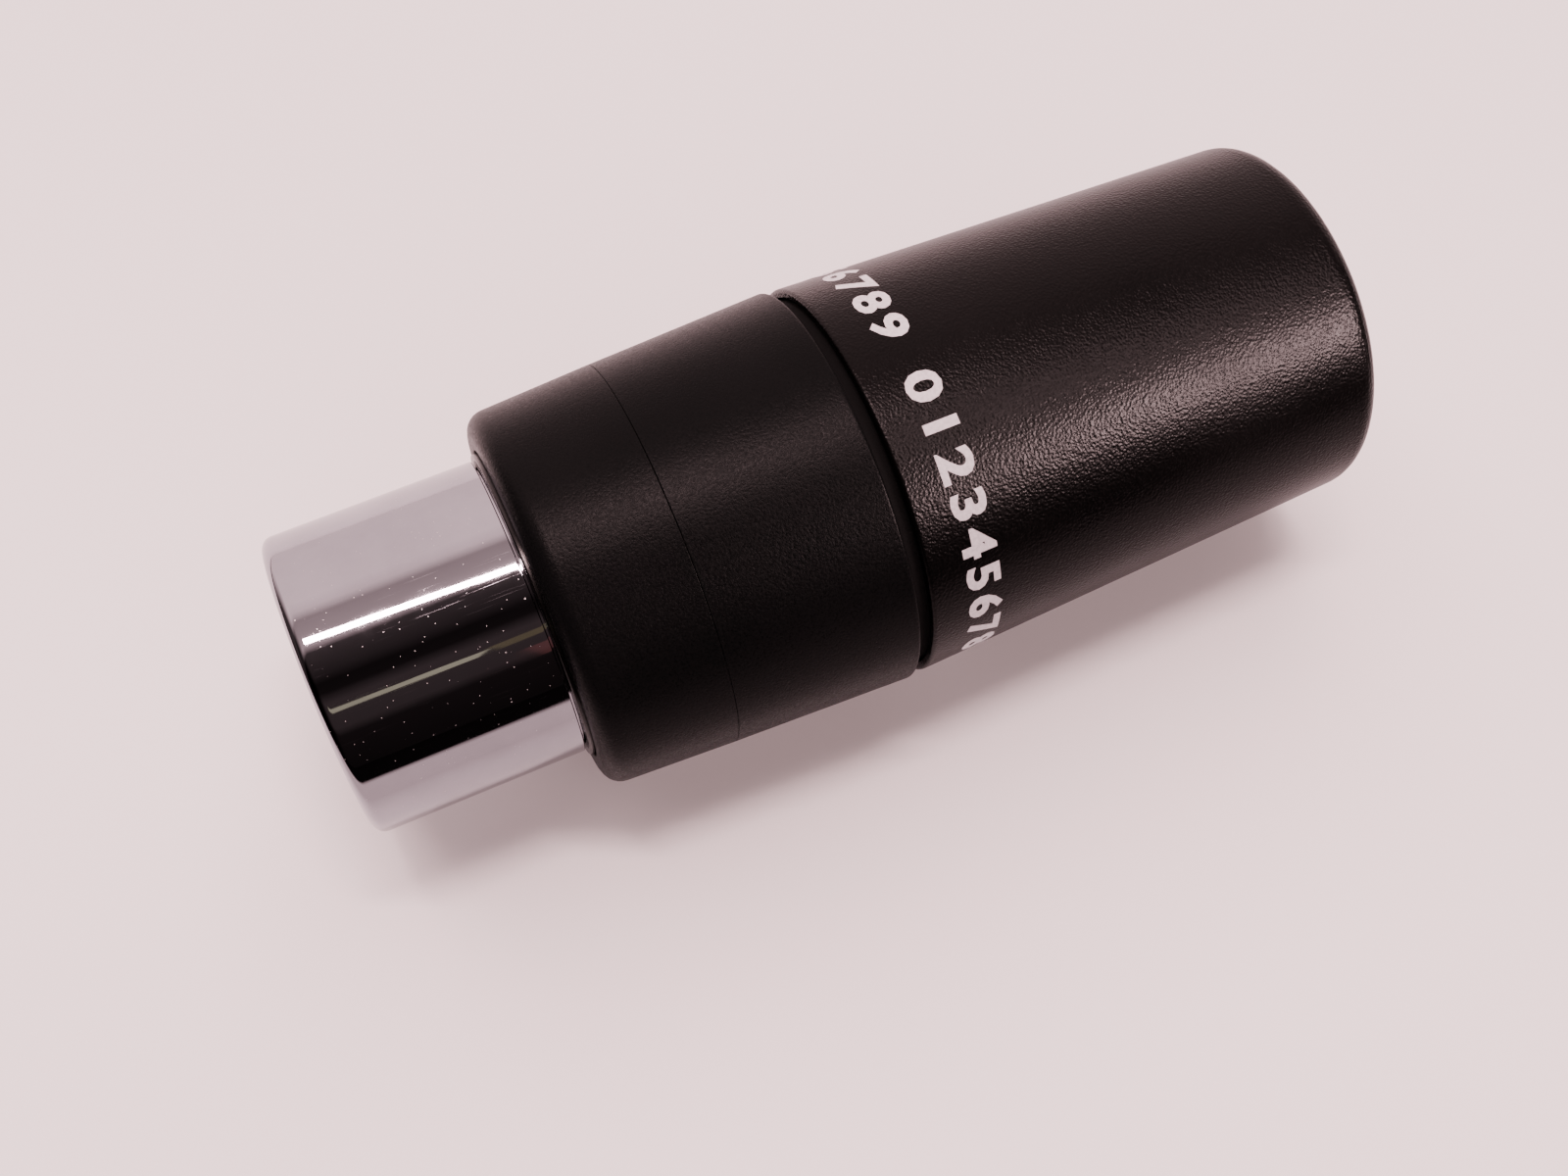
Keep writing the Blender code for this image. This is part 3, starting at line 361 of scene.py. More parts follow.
def chrome():
    """Polished plate with dust, hairline scratches and faint smudges."""
    r = Recipe("chrome_plate", (0.42, 0.43, 0.45), 0.035, metallic=1.0)
    hairs = r.noise(1.0, 2.0, 0.6, vector=r.stretched((90.0, 5200.0, 5200.0)))
    smudge = r.noise(170.0, 4.0, 0.65)
    fine_dust = r.specks(0.6 * MM, 0.06 * MM, 0.46)
    dust = r.maths("MAXIMUM", fine_dust, r.specks(2.3 * MM, 0.11 * MM, 0.52))
    tone = r.blend(r.span(smudge, 0.35, 0.7, 0.0, 1.0), (0.425, 0.432, 0.475), (0.385, 0.392, 0.43))
    r.colour(r.blend(dust, tone, (0.62, 0.60, 0.60)))
    wiped = r.span(smudge, 0.4, 0.75, 0.022, 0.075)
    scratched = r.maths("ADD", wiped, r.span(hairs, 0.64, 0.72, 0.0, 0.12))
    r.rough(r.maths("ADD", scratched, r.maths("MULTIPLY", dust, 0.5)))
    r.bump(hairs, 0.0015 * MM, 0.25)
    return r.mat


def printed_white():
    r = Recipe("printed_white_ink", (0.62, 0.60, 0.62), 0.5, specular=0.3)
    wear = r.noise(2600.0, 3.0, 0.6)
    r.mottle(wear, 0.35, 0.7, (0.60, 0.60, 0.62), (0.46, 0.46, 0.48))
    r.rough(r.span(wear, 0.3, 0.7, 0.45, 0.65))
    r.bump(r.cells(2900.0, "SMOOTH_F1"), 0.03 * MM, 0.5)
    return r.mat


# Painted shade on the table, seen only in reflections: each range runs from full painted shade, or the
# first darkening, to none, or the second
NEAR_SHADE_Y = (-0.115, -0.095)
NOSE_SHADE_X = (-0.26, -0.22)
DIM_Y = (-0.050, -0.014)
DIM_SHARES = (0.58, 0.16)


def table_paper():
    """White paper; in reflections it takes painted shade: dimmer, and ending in shade a hand's width before
    the eyepiece.
    """
    r = Recipe("pale_table", (0.86, 0.85, 0.855), 0.75, specular=0.0)
    cloud = r.noise(3.0, 2.0, 0.5)
    fibre = r.noise(1400.0, 3.0, 0.6)
    white = r.blend(r.span(cloud, 0.3, 0.7, 0.0, 1.0), (0.85, 0.84, 0.845), (0.89, 0.88, 0.885))
    place = r.split()
    # Painted shade, for glossy rays only: near black beyond the near and nose edges, and dimmer close to
    # the eyepiece
    near_side = r.span(place["Y"], *NEAR_SHADE_Y, 1.0, 0.0)
    nose_side = r.span(place["X"], *NOSE_SHADE_X, 1.0, 0.0)
    glossy = r.tree.nodes.new("ShaderNodeLightPath").outputs["Is Glossy Ray"]
    painted_shade_share = r.maths("MULTIPLY", r.maths("MAXIMUM", near_side, nose_side), glossy)
    painted_dim_share = r.maths("MULTIPLY", r.span(place["Y"], *DIM_Y, *DIM_SHARES), glossy)
    painted_dim_white = r.blend(painted_dim_share, white, (0.0, 0.0, 0.0))
    r.colour(r.blend(painted_shade_share, painted_dim_white, (0.002, 0.002, 0.002)))
    r.bump(fibre, 0.01 * MM, 0.2)
    return r.mat


def coated_glass():
    r = Recipe("coated_glass", (0.90, 0.98, 0.95), 0.02)
    r.set("Transmission Weight", 1.0)
    r.set("IOR", 1.5)
    wipe = r.noise(160.0, 3.0)
    r.mottle(wipe, 0.35, 0.7, (0.90, 0.98, 0.95), (0.86, 0.93, 0.97))
    r.rough(r.span(wipe, 0.4, 0.8, 0.01, 0.05))
    return r.mat


def rubber():
    r = Recipe("black_rubber", (0.008, 0.0078, 0.008), 0.7, specular=0.3)
    bloom = r.noise(420.0, 4.0, 0.6)
    r.mottle(bloom, 0.4, 0.75, (0.007, 0.007, 0.007), (0.017, 0.016, 0.016))
    r.rough(r.span(bloom, 0.3, 0.7, 0.62, 0.8))
    r.bump(r.noise(2600.0, 3.0), 0.02 * MM, 0.4)
    return r.mat


def foam():
    r = Recipe("grey_foam", (0.03, 0.03, 0.033), 0.95, specular=0.1)
    pores = r.cells(1900.0)
    # The pore pits are painted darker than the face between them: painted shade in the pores
    r.mottle(pores, 0.1, 0.6, (0.012, 0.012, 0.013), (0.05, 0.05, 0.054))
    r.rough(r.span(pores, 0.1, 0.6, 1.0, 0.88))
    r.bump(pores, 0.15 * MM, 0.9)
    return r.mat


def circuit_board():
    """Green solder mask over copper traces that run in steps."""
    r = Recipe("green_circuit_board", (0.012, 0.10, 0.035), 0.35)
    traces = r.tree.nodes.new("ShaderNodeTexBrick")
    turn = r.tree.nodes.new("ShaderNodeMapping")
    turn.inputs["Rotation"].default_value = (0.0, math.radians(90.0), 0.0)
    r.link(r.place, turn.inputs["Vector"])
    r.link(turn.outputs["Vector"], traces.inputs["Vector"])
    traces.inputs["Scale"].default_value = 420.0
    traces.inputs["Mortar Size"].default_value = 0.035
    for socket in ("Color1", "Color2"):
        traces.inputs[socket].default_value = (0.0, 0.0, 0.0, 1.0)
    traces.inputs["Mortar"].default_value = (1.0, 1.0, 1.0, 1.0)
    r.colour(r.blend(traces.outputs["Color"], (0.010, 0.085, 0.030), (0.030, 0.190, 0.070)))
    r.rough(r.span(r.noise(500.0, 3.0), 0.3, 0.7, 0.28, 0.42))
    r.bump(traces.outputs["Color"], 0.03 * MM, 0.6)
    return r.mat


def metal(name, colour, low, high):
    """Turned or pressed metal with a fine lay, and tone and gloss that wander a little."""
    r = Recipe(name, colour, (low + high) / 2, metallic=1.0)
    lay = r.noise(1.0, 3.0, 0.6, vector=r.stretched((4200.0, 500.0, 500.0)))
    tarnish = r.noise(350.0, 3.0, 0.6)
    r.mottle(tarnish, 0.4, 0.75, colour, tuple(c * 0.72 for c in colour))
    r.rough(r.span(lay, 0.3, 0.7, low, high))
    r.bump(lay, 0.006 * MM, 0.4)
    return r.mat


def moulded(name, colour, low, high):
    """Small moulded or coated parts: chip bodies, wire insulation, ceramic."""
    r = Recipe(name, colour, (low + high) / 2, specular=0.4)
    grain = r.noise(1800.0, 3.0, 0.6)
    r.mottle(grain, 0.35, 0.7, colour, tuple(c * 0.78 for c in colour))
    r.rough(r.span(grain, 0.3, 0.7, low, high))
    r.bump(grain, 0.01 * MM, 0.4)
    return r.mat


BAND_SHARE = 0.24           # of the battery's length
BAND_BLUR = 0.15 * MM


def battery_wrap(low, high):
    """A dark wrap with a copper-coloured band at the terminal end; low and high are the case's ends."""
    r = Recipe("battery_wrap_film", (0.02, 0.022, 0.026), 0.3, metallic=0.4)
    band_end = low + BAND_SHARE * (high - low)
    band = r.span(r.split()["X"], band_end, band_end + BAND_BLUR, 1.0, 0.0)
    scuff = r.noise(700.0, 4.0, 0.65)
    dark = r.blend(r.span(scuff, 0.5, 0.75, 0.0, 1.0), (0.016, 0.018, 0.022), (0.027, 0.029, 0.033))
    r.colour(r.blend(band, dark, (0.34, 0.15, 0.07)))
    r.rough(r.span(scuff, 0.3, 0.75, 0.22, 0.42))
    r.bump(scuff, 0.01 * MM, 0.3)
    return r.mat


# ---------------------------------------------------------------- fine geometry

def rounded(corners):
    """A closed outline of (station, radius) points from corners of (station, radius, fillet)."""
    points = []
    count = len(corners)
    for i, (x, r, fillet) in enumerate(corners):
        here = Vector((x, r))
        if fillet == 0.0:
            points.append(here)
            continue
        back = (Vector(corners[i - 1][:2]) - here).normalized()
        ahead = (Vector(corners[(i + 1) % count][:2]) - here).normalized()
        half = back.angle(ahead) / 2
        centre = here + (back + ahead).normalized() * fillet / math.sin(half)
        reach = fillet / math.tan(half)
        start = here + back * reach - centre
        turn = start.angle_signed(here + ahead * reach - centre)
        for k in range(EDGE_STEPS + 1):
            points.append(centre + Matrix.Rotation(-turn * k / EDGE_STEPS, 2) @ start)
    return points


def supported(points):
    """The outline with a support point near both ends of every long run, so that flats shade flat."""
    result = []
    for i, here in enumerate(points):
        ahead = points[(i + 1) % len(points)]
        result.append(here)
        run = ahead - here
        if run.length > 4 * SUPPORT:
            result.append(here + run.normalized() * SUPPORT)
            result.append(ahead - run.normalized() * SUPPORT)
    return result


def on_axis(x, radius, angle):
    """A point round the optical axis; the angle runs from the top towards the camera's side."""
    return Vector((x, -radius * math.sin(angle), AXIS_Z + radius * math.cos(angle)))


def add_mesh(name, verts, faces, mats):
    mesh = bpy.data.meshes.new(name)
    mesh.from_pydata([tuple(v) for v in verts], [], faces)
    bm = bmesh.new()
    bm.from_mesh(mesh)
    bmesh.ops.remove_doubles(bm, verts=bm.verts, dist=MERGE)
    bmesh.ops.recalc_face_normals(bm, faces=bm.faces)
    bm.to_mesh(mesh)
    bm.free()
    for mat in mats:
        mesh.materials.append(mat)
    shade(mesh)
    return add_object(name, mesh)


def shade(mesh):
    mesh.shade_smooth()
    mesh.set_sharp_from_angle(angle=math.radians(SHARP_ANGLE))


def turned(name, points, mats, sides=SIDES):
    """Turns a closed outline about the optical axis."""
    count = len(points)
    verts = []
    for k in range(sides):
        verts += [on_axis(x, r, 2 * math.pi * k / sides) for x, r in points]
    faces = []
    for k in range(sides):
        near = k * count
        far = ((k + 1) % sides) * count
        for i in range(count):
            j = (i + 1) % count
            faces.append((near + i, near + j, far + j, far + i))
    return add_mesh(name, verts, faces, mats)


def cut(obj, tool):
    """Cuts one solid from another for good."""
    boolean = obj.modifiers.new("cut", "BOOLEAN")
    boolean.operation = "DIFFERENCE"
    boolean.solver = "EXACT"
    boolean.object = tool
    bpy.context.view_layer.update()
    done = bpy.data.meshes.new_from_object(obj.evaluated_get(bpy.context.evaluated_depsgraph_get()))
    obj.modifiers.clear()
    obj.data = done
    shade(done)
    bpy.data.objects.remove(tool)


def cutting_rod(start, end, radius, sides=CUTTER_SIDES):
    """A plain cylinder between two points, which cut() removes again."""
    run = end - start
    turn = Vector((0.0, 0.0, 1.0)).rotation_difference(run).to_matrix().to_4x4()
    bm = bmesh.new()
    bmesh.ops.create_cone(bm, cap_ends=True, segments=sides, radius1=radius, radius2=radius,
                          depth=run.length, matrix=Matrix.Translation((start + end) / 2) @ turn)
    mesh = bpy.data.meshes.new("cutter")
    bm.to_mesh(mesh)
    bm.free()
    return add_object("cutter", mesh)


def stand_in(obj, node, body):
    """The piece takes a CAD node's place."""
    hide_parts(node)
    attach(obj, body)


def paint_second(obj, chosen):
    """Faces whose (station from the rim, radius) is chosen take the second material."""
    for face in obj.data.polygons:
        centre = face.center
        radius = math.hypot(centre.y, centre.z - AXIS_Z)
        if chosen(centre.x - NOSE_X, radius):
            face.material_index = 1


def across(node):
    """Largest radius of a turned node."""
    low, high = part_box(node)
    return (high.y - low.y) / 2


# ---------------------------------------------------------------- the shells

BARREL_RADIUS = across("nosepiece_barrel")
SHOULDER_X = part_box("body_tube")[0].x - CLEARANCE
SPIGOT_END_X = RIM_BOX[1].x
BORE_RADIUS = BARREL_RADIUS - 2.275 * MM
NOSE_LIP = 1.45 * MM        # width of the flat rim and its rounding
NOSE_ROUNDING = 1.2 * MM
NOSE_EDGE = 0.12 * MM
SPIGOT_EDGE = 0.3 * MM

THREAD_PITCH = 0.6 * MM
THREAD_DEPTH = 0.3 * MM
THREAD_LENGTH = 4.0 * MM
THREAD_START = 0.35 * MM
THREAD_END_TAPER = 0.3 * MM
RIDGE_FOOT, RIDGE_REAR, RIDGE_FRONT = 0.55, 0.25, 0.05      # shares of the pitch


def filter_thread():
    """Outline points of the ridges inside the nose rim, from the bore out to the rim."""
    root = BARREL_RADIUS - 1.625 * MM
    points = []
    count = int(THREAD_LENGTH / THREAD_PITCH)
    for i in reversed(range(count)):
        x = NOSE_X + THREAD_START + i * THREAD_PITCH
        points.append(Vector((x + THREAD_PITCH * RIDGE_FOOT, root)))
        points.append(Vector((x + THREAD_PITCH * RIDGE_REAR, root - THREAD_DEPTH)))
        points.append(Vector((x + THREAD_PITCH * RIDGE_FRONT, root - THREAD_DEPTH)))
    return points


def nosepiece(chrome_mat, bore_mat):
    """Chrome outside and at the rim, flat black in the bore, with a ledge that holds the window."""
    spigot = BARREL_RADIUS - 0.975 * MM
    ledge_front = SHOULDER_X + 1.8 * MM
    ledge_rear = ledge_front + 1.0 * MM
    ledge = BORE_RADIUS - 1.4 * MM
    thread_end = NOSE_X + THREAD_LENGTH
    outer = rounded([
        (NOSE_X, BARREL_RADIUS - NOSE_LIP, NOSE_EDGE),
        (NOSE_X, BARREL_RADIUS, NOSE_ROUNDING),
        (SHOULDER_X, BARREL_RADIUS, NOSE_EDGE),
        (SHOULDER_X, spigot, 0.0),
        (SPIGOT_END_X, spigot, SPIGOT_EDGE),
        (SPIGOT_END_X, BORE_RADIUS, SPIGOT_EDGE),
        (ledge_rear, BORE_RADIUS, 0.0),
        (ledge_rear, ledge, SMALL_FILLET),
        (ledge_front, ledge, SMALL_FILLET),
        (ledge_front, BORE_RADIUS, 0.0),
        (thread_end + THREAD_END_TAPER, BORE_RADIUS, SMALL_FILLET),
        (thread_end, BARREL_RADIUS - 1.7 * MM, 0.0),
    ])
    barrel = turned("nosepiece_fine", supported(outer + filter_thread()), [chrome_mat, bore_mat])
    chrome_wall = BARREL_RADIUS - 1.5 * MM
    bore_skin = BORE_RADIUS + 0.05 * MM
    paint_second(barrel, lambda x, r: r < bore_skin or r < chrome_wall and x > THREAD_LENGTH / 2)
    stand_in(barrel, "nosepiece_barrel", "body")


LIP_RADIUS = BARREL_RADIUS + 0.625 * MM
TUBE_RADIUS = LIP_RADIUS + 1.3 * MM
TUBE_BORE = TUBE_RADIUS - 1.5 * MM
SHELL_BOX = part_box("front_shell")
RING_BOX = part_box("contrast_ring")
COVER_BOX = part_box("battery_cover")
TUBE_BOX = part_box("body_tube")
RING_RADIUS = across("contrast_ring")
COVER_RADIUS = across("battery_cover")
FLANGE_RADIUS = across("body_tube")
BULKHEAD_REAR_X = RING_BOX[1].x - 2.05 * MM
FLANGE_REAR_X = COVER_BOX[0].x + 1.49 * MM
JACK_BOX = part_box("socket_bush")
JACK_HOLE = (JACK_BOX[1].x - JACK_BOX[0].x) / 2 + CLEARANCE
PIN_HOLE = 1.3 * MM
SCREW_HOLE = 1.3 * MM
SCREW_HOLE_SIDES = 32
CUT_MARGIN = 1.0 * MM       # how far a cutting rod runs past the wall it cuts
BULKHEAD_THICKNESS = 2.0 * MM
MOUTH_EDGE = 0.15 * MM


def radial_cut(node, radius, inner, outer):
    """A cutting rod through the middle of a radial node, past a wall between two radii."""
    low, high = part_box(node)
    middle = (low + high) / 2
    out = Vector((0.0, middle.y, middle.z - AXIS_Z)).normalized()
    foot = Vector((middle.x, 0.0, AXIS_Z))
    return cutting_rod(foot + out * (inner - CUT_MARGIN), foot + out * (outer + CUT_MARGIN), radius)


def axial_cut(node, radius):
    """A cutting rod along a screw, through the bulkhead."""
    low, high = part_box(node)
    start = (low + high) / 2
    start.x = BULKHEAD_REAR_X - BULKHEAD_THICKNESS - CUT_MARGIN
    run = Vector((BULKHEAD_THICKNESS + 2 * CUT_MARGIN, 0.0, 0.0))
    return cutting_rod(start, start + run, radius, SCREW_HOLE_SIDES)


def body_tube(gloss_mat, flat_mat):
    """Glossy at the lip round the nosepiece, flat black where the shells cover it and in the groove."""
    spigot = FLANGE_RADIUS - 1.3 * MM
    spigot_bore = spigot - 1.6 * MM
    spigot_end = FLANGE_REAR_X + 5.6 * MM
    ring_groove_front = FLANGE_REAR_X + 1.6 * MM
    ring_groove_rear = ring_groove_front + 1.8 * MM
    ring_groove = spigot - 0.8 * MM
    nose_bore = BARREL_RADIUS - 0.675 * MM
    nose_stop = SPIGOT_END_X + CLEARANCE
    tube_front = SHELL_BOX[0].x + 2.6 * MM
    bulkhead = BULKHEAD_REAR_X - BULKHEAD_THICKNESS
    lead_hole = 3.5 * MM
    edge = 0.18 * MM
    outline = rounded([
        (TUBE_BOX[0].x, nose_bore, SMALL_FILLET),
        (TUBE_BOX[0].x, LIP_RADIUS, 0.2 * MM),
        (tube_front, LIP_RADIUS, 0.0),
        (tube_front, TUBE_RADIUS, edge),
        (BULKHEAD_REAR_X, TUBE_RADIUS, 0.0),
        (BULKHEAD_REAR_X, FLANGE_RADIUS, edge),
        (FLANGE_REAR_X, FLANGE_RADIUS, edge),
        (FLANGE_REAR_X, spigot, 0.0),
        (ring_groove_front, spigot, SMALL_FILLET),
        (ring_groove_front, ring_groove, MOUTH_EDGE),
        (ring_groove_rear, ring_groove, MOUTH_EDGE),
        (ring_groove_rear, spigot, SMALL_FILLET),
        (spigot_end, spigot, 0.4 * MM),
        (spigot_end, spigot_bore, edge),
        (BULKHEAD_REAR_X, spigot_bore, 0.0),
        (BULKHEAD_REAR_X, lead_hole, edge),
        (bulkhead, lead_hole, edge),
        (bulkhead, TUBE_BORE, 0.0),
        (nose_stop, TUBE_BORE, 0.0),
        (nose_stop, nose_bore, 0.0),
    ])
    tube = turned("body_tube_fine", supported(outline), [gloss_mat, flat_mat])
    paint_second(tube, lambda x, r: x > tube_front - NOSE_X)
    cut(tube, radial_cut("stop_pin", PIN_HOLE, TUBE_BORE, TUBE_RADIUS))
    cut(tube, radial_cut("socket_bush", JACK_HOLE, TUBE_BORE, TUBE_RADIUS))
    for node in numbered("board_screw", 3) + numbered("tray_screw", 2):
        cut(tube, axial_cut(node, SCREW_HOLE))
    stand_in(tube, "body_tube", "body")


SEAM_CLOSE = 0.13 * MM      # how far each shell closes on the CAD gap at the seam
SEAM_EDGE = 0.06 * MM
FRONT_RISE = 0.69 * MM      # how much the front shell widens towards the ring
SEAM_RADIUS = across("front_shell")


def front_shell(satin_mat):
    """The fixed shell: a round-cornered cone with a hole for the output socket."""
    front_radius = SEAM_RADIUS - FRONT_RISE
    lip_bore = LIP_RADIUS + CLEARANCE
    bore = TUBE_RADIUS + CLEARANCE
    front = SHELL_BOX[0].x
    face_rear = front + 2.3 * MM
    rear = SHELL_BOX[1].x + SEAM_CLOSE
    outline = rounded([
        (front, lip_bore, MOUTH_EDGE),
        (front, front_radius, 2.2 * MM),
        (rear, SEAM_RADIUS, SEAM_EDGE),
        (rear, bore, SMALL_FILLET),
        (face_rear, bore, 0.0),
        (face_rear, lip_bore, SMALL_FILLET),
    ])
    shell = turned("front_shell_fine", supported(outline), [satin_mat])
    cut(shell, radial_cut("socket_bush", JACK_HOLE, TUBE_RADIUS, SEAM_RADIUS))
    stand_in(shell, "front_shell", "body")


def contrast_ring(satin_mat):
    """The ring that turns on the tube, hollow in the middle and stepped where it passes the flange."""
    bore = TUBE_RADIUS + CLEARANCE
    hollow = bore + 1.3 * MM
    flange_bore = FLANGE_RADIUS + CLEARANCE
    front = RING_BOX[0].x - SEAM_CLOSE
    rear = RING_BOX[1].x
    step = BULKHEAD_REAR_X - 2.9 * MM
    hollow_front = RING_BOX[0].x + 2.6 * MM
    hollow_rear = step - 2.0 * MM
    outline = rounded([
        (front, bore, SMALL_FILLET),
        (front, SEAM_RADIUS, SEAM_EDGE),
        (rear, RING_RADIUS, 0.3 * MM),
        (rear, flange_bore, MOUTH_EDGE),
        (step, flange_bore, 0.0),
        (step, bore, SMALL_FILLET),
        (hollow_rear, bore, SMALL_FILLET),
        (hollow_rear, hollow, 0.0),
        (hollow_front, hollow, 0.0),
        (hollow_front, bore, SMALL_FILLET),
    ])
    ring = turned("contrast_ring_fine", supported(outline), [satin_mat])
    stand_in(ring, "contrast_ring", "contrast_ring")


TAIL_RADIUS = 19.628 * MM
TAIL_ROUNDING = 2.36 * MM
CENTRE_RADIUS = 0.01 * MM   # a turned disc stops this short of the axis


def cover_radius(x):
    """Outer radius of the battery cover's cone."""
    share = (x - COVER_BOX[0].x) / (COVER_BOX[1].x - COVER_BOX[0].x)
    return COVER_RADIUS + (TAIL_RADIUS - COVER_RADIUS) * share


def battery_cover(grained_mat):
    """A cup that narrows to the tail, with a guide inside its mouth that slides on the spigot."""
    guide = FLANGE_RADIUS - 1.0 * MM
    flange_bore = FLANGE_RADIUS + CLEARANCE
    end_bore = TAIL_RADIUS - 1.8 * MM
    front, rear = COVER_BOX[0].x, COVER_BOX[1].x
    guide_front = FLANGE_REAR_X + CLEARANCE
    guide_rear = FLANGE_REAR_X + 5.9 * MM
    floor = rear - 2.3 * MM
    outline = rounded([
        (front, COVER_RADIUS, 0.4 * MM),
        (rear, TAIL_RADIUS, TAIL_ROUNDING),
        (rear, CENTRE_RADIUS, 0.0),
        (floor, CENTRE_RADIUS, 0.0),
        (floor, end_bore, 1.0 * MM),
        (guide_rear, guide, 0.0),
        (guide_front, guide, SMALL_FILLET),
        (guide_front, flange_bore, 0.0),
        (front, flange_bore, MOUTH_EDGE),
    ])
    cover = turned("battery_cover_fine", supported(outline), [grained_mat])
    stand_in(cover, "battery_cover", "battery_cover")


PAD_CROWN = 0.16            # shares of the pad's thickness
PAD_FRONT_EDGE = 0.35
PAD_REAR_EDGE = 0.2
PAD_CENTRE = 0.001          # share of the pad's radius


def cover_pad(foam_mat):
    """The foam disc that the battery presses on, with a soft edge and a slightly crowned face."""
    low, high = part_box("cover_pad")
    radius = (high.y - low.y) / 2
    centre = radius * PAD_CENTRE
    thick = high.x - low.x
    crown = thick * PAD_CROWN
    front = [Vector((low.x + crown * share * share, radius * share)) for share in (PAD_CENTRE, 0.35, 0.7)]
    edge = rounded([
        (low.x + crown, radius, thick * PAD_FRONT_EDGE),
        (high.x, radius - SMALL_FILLET, thick * PAD_REAR_EDGE),
        (high.x, centre, 0.0),
        (low.x, centre, 0.0),
    ])[:-1]
    pad = turned("cover_pad_fine", front + edge, [foam_mat], PAD_SIDES)
    stand_in(pad, "cover_pad", "battery_cover")


# ---------------------------------------------------------------- the printed dial

DIAL_GROUPS = 3
DIGITS = 10
DIGIT_PITCH_DEG = 11.1
DIAL_PHASE_DEG = 11.5       # where the first group's zero stands, from the top
NUMERAL_HEIGHT = 3.6 * MM
NUMERAL_WIDTH_SHARE = 1.32  # how much wider than the font's
NUMERAL_OFFSET = 4.2 * MM   # from the cover's front edge to the foot of the numerals
STROKE_GROWTH = 0.16 * MM
CURVE_STEPS = 3
INK_LIFT = 0.03 * MM        # the ink stands this far out of the cover and reaches this far in
FLAT_THICKNESS = 0.1 * MM   # before it is wrapped
CAP_SHARE = 0.729           # height of a numeral over the font's size
LONGEST_EDGE = 0.55 * MM    # on the wrapped ink, as far as the splits reach
SPLITS = 3


def flat_numeral(text):
    """A bmesh of a numeral, centred on its width, with its foot on the x axis and its thickness along z."""
    curve = bpy.data.curves.new("numeral", "FONT")
    curve.body = text
    curve.align_x = "CENTER"
    curve.size = NUMERAL_HEIGHT / CAP_SHARE
    curve.offset = STROKE_GROWTH
    curve.extrude = FLAT_THICKNESS / 2
    curve.resolution_u = CURVE_STEPS
    obj = add_object("numeral", curve)
    bpy.context.view_layer.update()
    mesh = bpy.data.meshes.new_from_object(obj.evaluated_get(bpy.context.evaluated_depsgraph_get()))
    bm = bmesh.new()
    bm.from_mesh(mesh)
    bpy.data.objects.remove(obj)
    bmesh.ops.remove_doubles(bm, verts=bm.verts, dist=MERGE)
    bmesh.ops.triangulate(bm, faces=bm.faces)
    for _ in range(SPLITS):
        long_edges = [e for e in bm.edges if e.calc_length() > LONGEST_EDGE]
        bmesh.ops.subdivide_edges(bm, edges=long_edges, cuts=1)
        bmesh.ops.triangulate(bm, faces=bm.faces)
    return bm


def dial(ink_mat):
    """White numerals round the cover, their tops towards the tail."""
    foot_x = COVER_BOX[0].x + NUMERAL_OFFSET
    verts, faces = [], []
    places = [(group, digit) for group in range(DIAL_GROUPS) for digit in range(DIGITS)]
    for group, digit in places:
        bm = flat_numeral(str(digit))
        middle = math.radians(DIAL_PHASE_DEG + group * 360.0 / DIAL_GROUPS + digit * DIGIT_PITCH_DEG)
        base = len(verts)
        for v in bm.verts:
            x = foot_x + v.co.y
            radius = cover_radius(x)
            angle = middle + v.co.x * NUMERAL_WIDTH_SHARE / radius
            lift = INK_LIFT if v.co.z > 0.0 else -INK_LIFT
            verts.append(on_axis(x, radius + lift, angle))
        bm.verts.index_update()
        faces += [tuple(base + v.index for v in f.verts) for f in bm.faces]
        bm.free()
    ink = add_mesh("dial_numerals", verts, faces, [ink_mat])
    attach(ink, "battery_cover")


# ---------------------------------------------------------------- carried-over CAD nodes

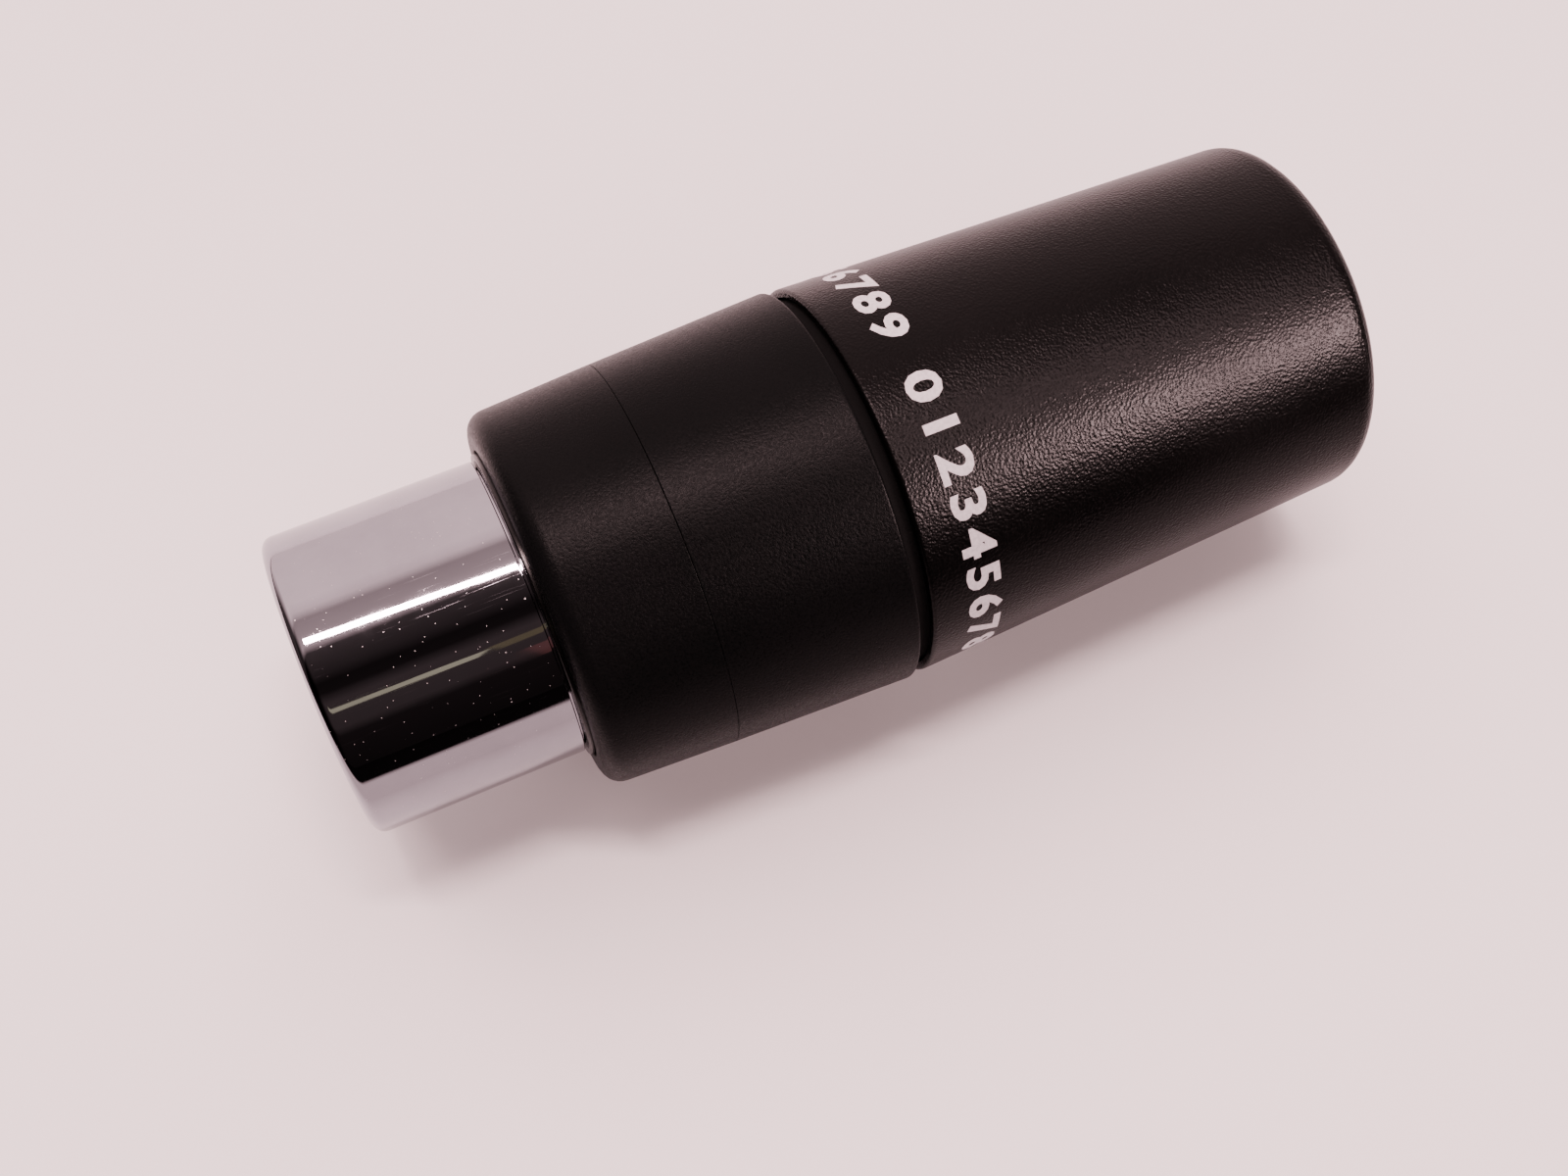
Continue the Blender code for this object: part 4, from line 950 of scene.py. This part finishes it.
def dress(nodes, mat):
    """The CAD nodes keep their shape and take a material."""
    for node in nodes:
        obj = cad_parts[node]
        obj.data.materials.clear()
        obj.data.materials.append(mat)


def numbered(name, count):
    return [f"{name}_{i + 1}" for i in range(count)]


def dress_inside(flat_mat, rubber_mat):
    board = circuit_board()
    steel = metal("bright_steel", (0.60, 0.60, 0.62), 0.2, 0.38)
    brass = metal("brass", (0.72, 0.52, 0.24), 0.2, 0.36)
    tin = metal("drawn_aluminium", (0.70, 0.71, 0.73), 0.28, 0.45)
    epoxy = moulded("black_epoxy", (0.014, 0.014, 0.015), 0.45, 0.65)
    dress(["filter_window", "sensor_glass"], coated_glass())
    dress(["window_ring", "sensor_shroud", "battery_tray"], flat_mat)
    dress(["stop_block"], moulded("stop_block_plastic", (0.008, 0.008, 0.009), 0.4, 0.6))
    dress(["contrast_track", "sensor_board", "video_board"], board)
    dress(["stop_pin", "terminal_stud", "terminal_socket"], steel)
    dress(numbered("board_screw", 3) + numbered("tray_screw", 2), steel)
    dress(["contact_socket", "contact_stud", "socket_bush", "contrast_wiper"], brass)
    dress(numbered("front_spacer", 3) + numbered("rear_spacer", 3), brass)
    dress(numbered("capacitor", 2) + ["crystal_can"], tin)
    dress(["cover_o_ring", "snap_connector"], rubber_mat)
    dress(["lead_negative"], moulded("black_insulation", (0.01, 0.01, 0.011), 0.35, 0.5))
    dress(["lead_positive"], moulded("red_insulation", (0.36, 0.014, 0.010), 0.35, 0.5))
    dress(["board_header", "processor_chip", "socket_body"], epoxy)
    dress(["image_sensor"], moulded("sensor_ceramic", (0.16, 0.155, 0.17), 0.35, 0.5))
    low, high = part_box("battery")
    dress(["battery"], battery_wrap(low.x, high.x))


def build():
    flat_mat = flat_black()
    satin_mat = satin_black()
    add_floor(table_paper())
    nosepiece(chrome(), flat_mat)
    body_tube(gloss_black(), flat_mat)
    front_shell(satin_mat)
    contrast_ring(satin_mat)
    battery_cover(grained_black())
    cover_pad(foam())
    dial(printed_white())
    dress_inside(flat_mat, rubber())


add_camera()
add_lights()
add_world()
build()
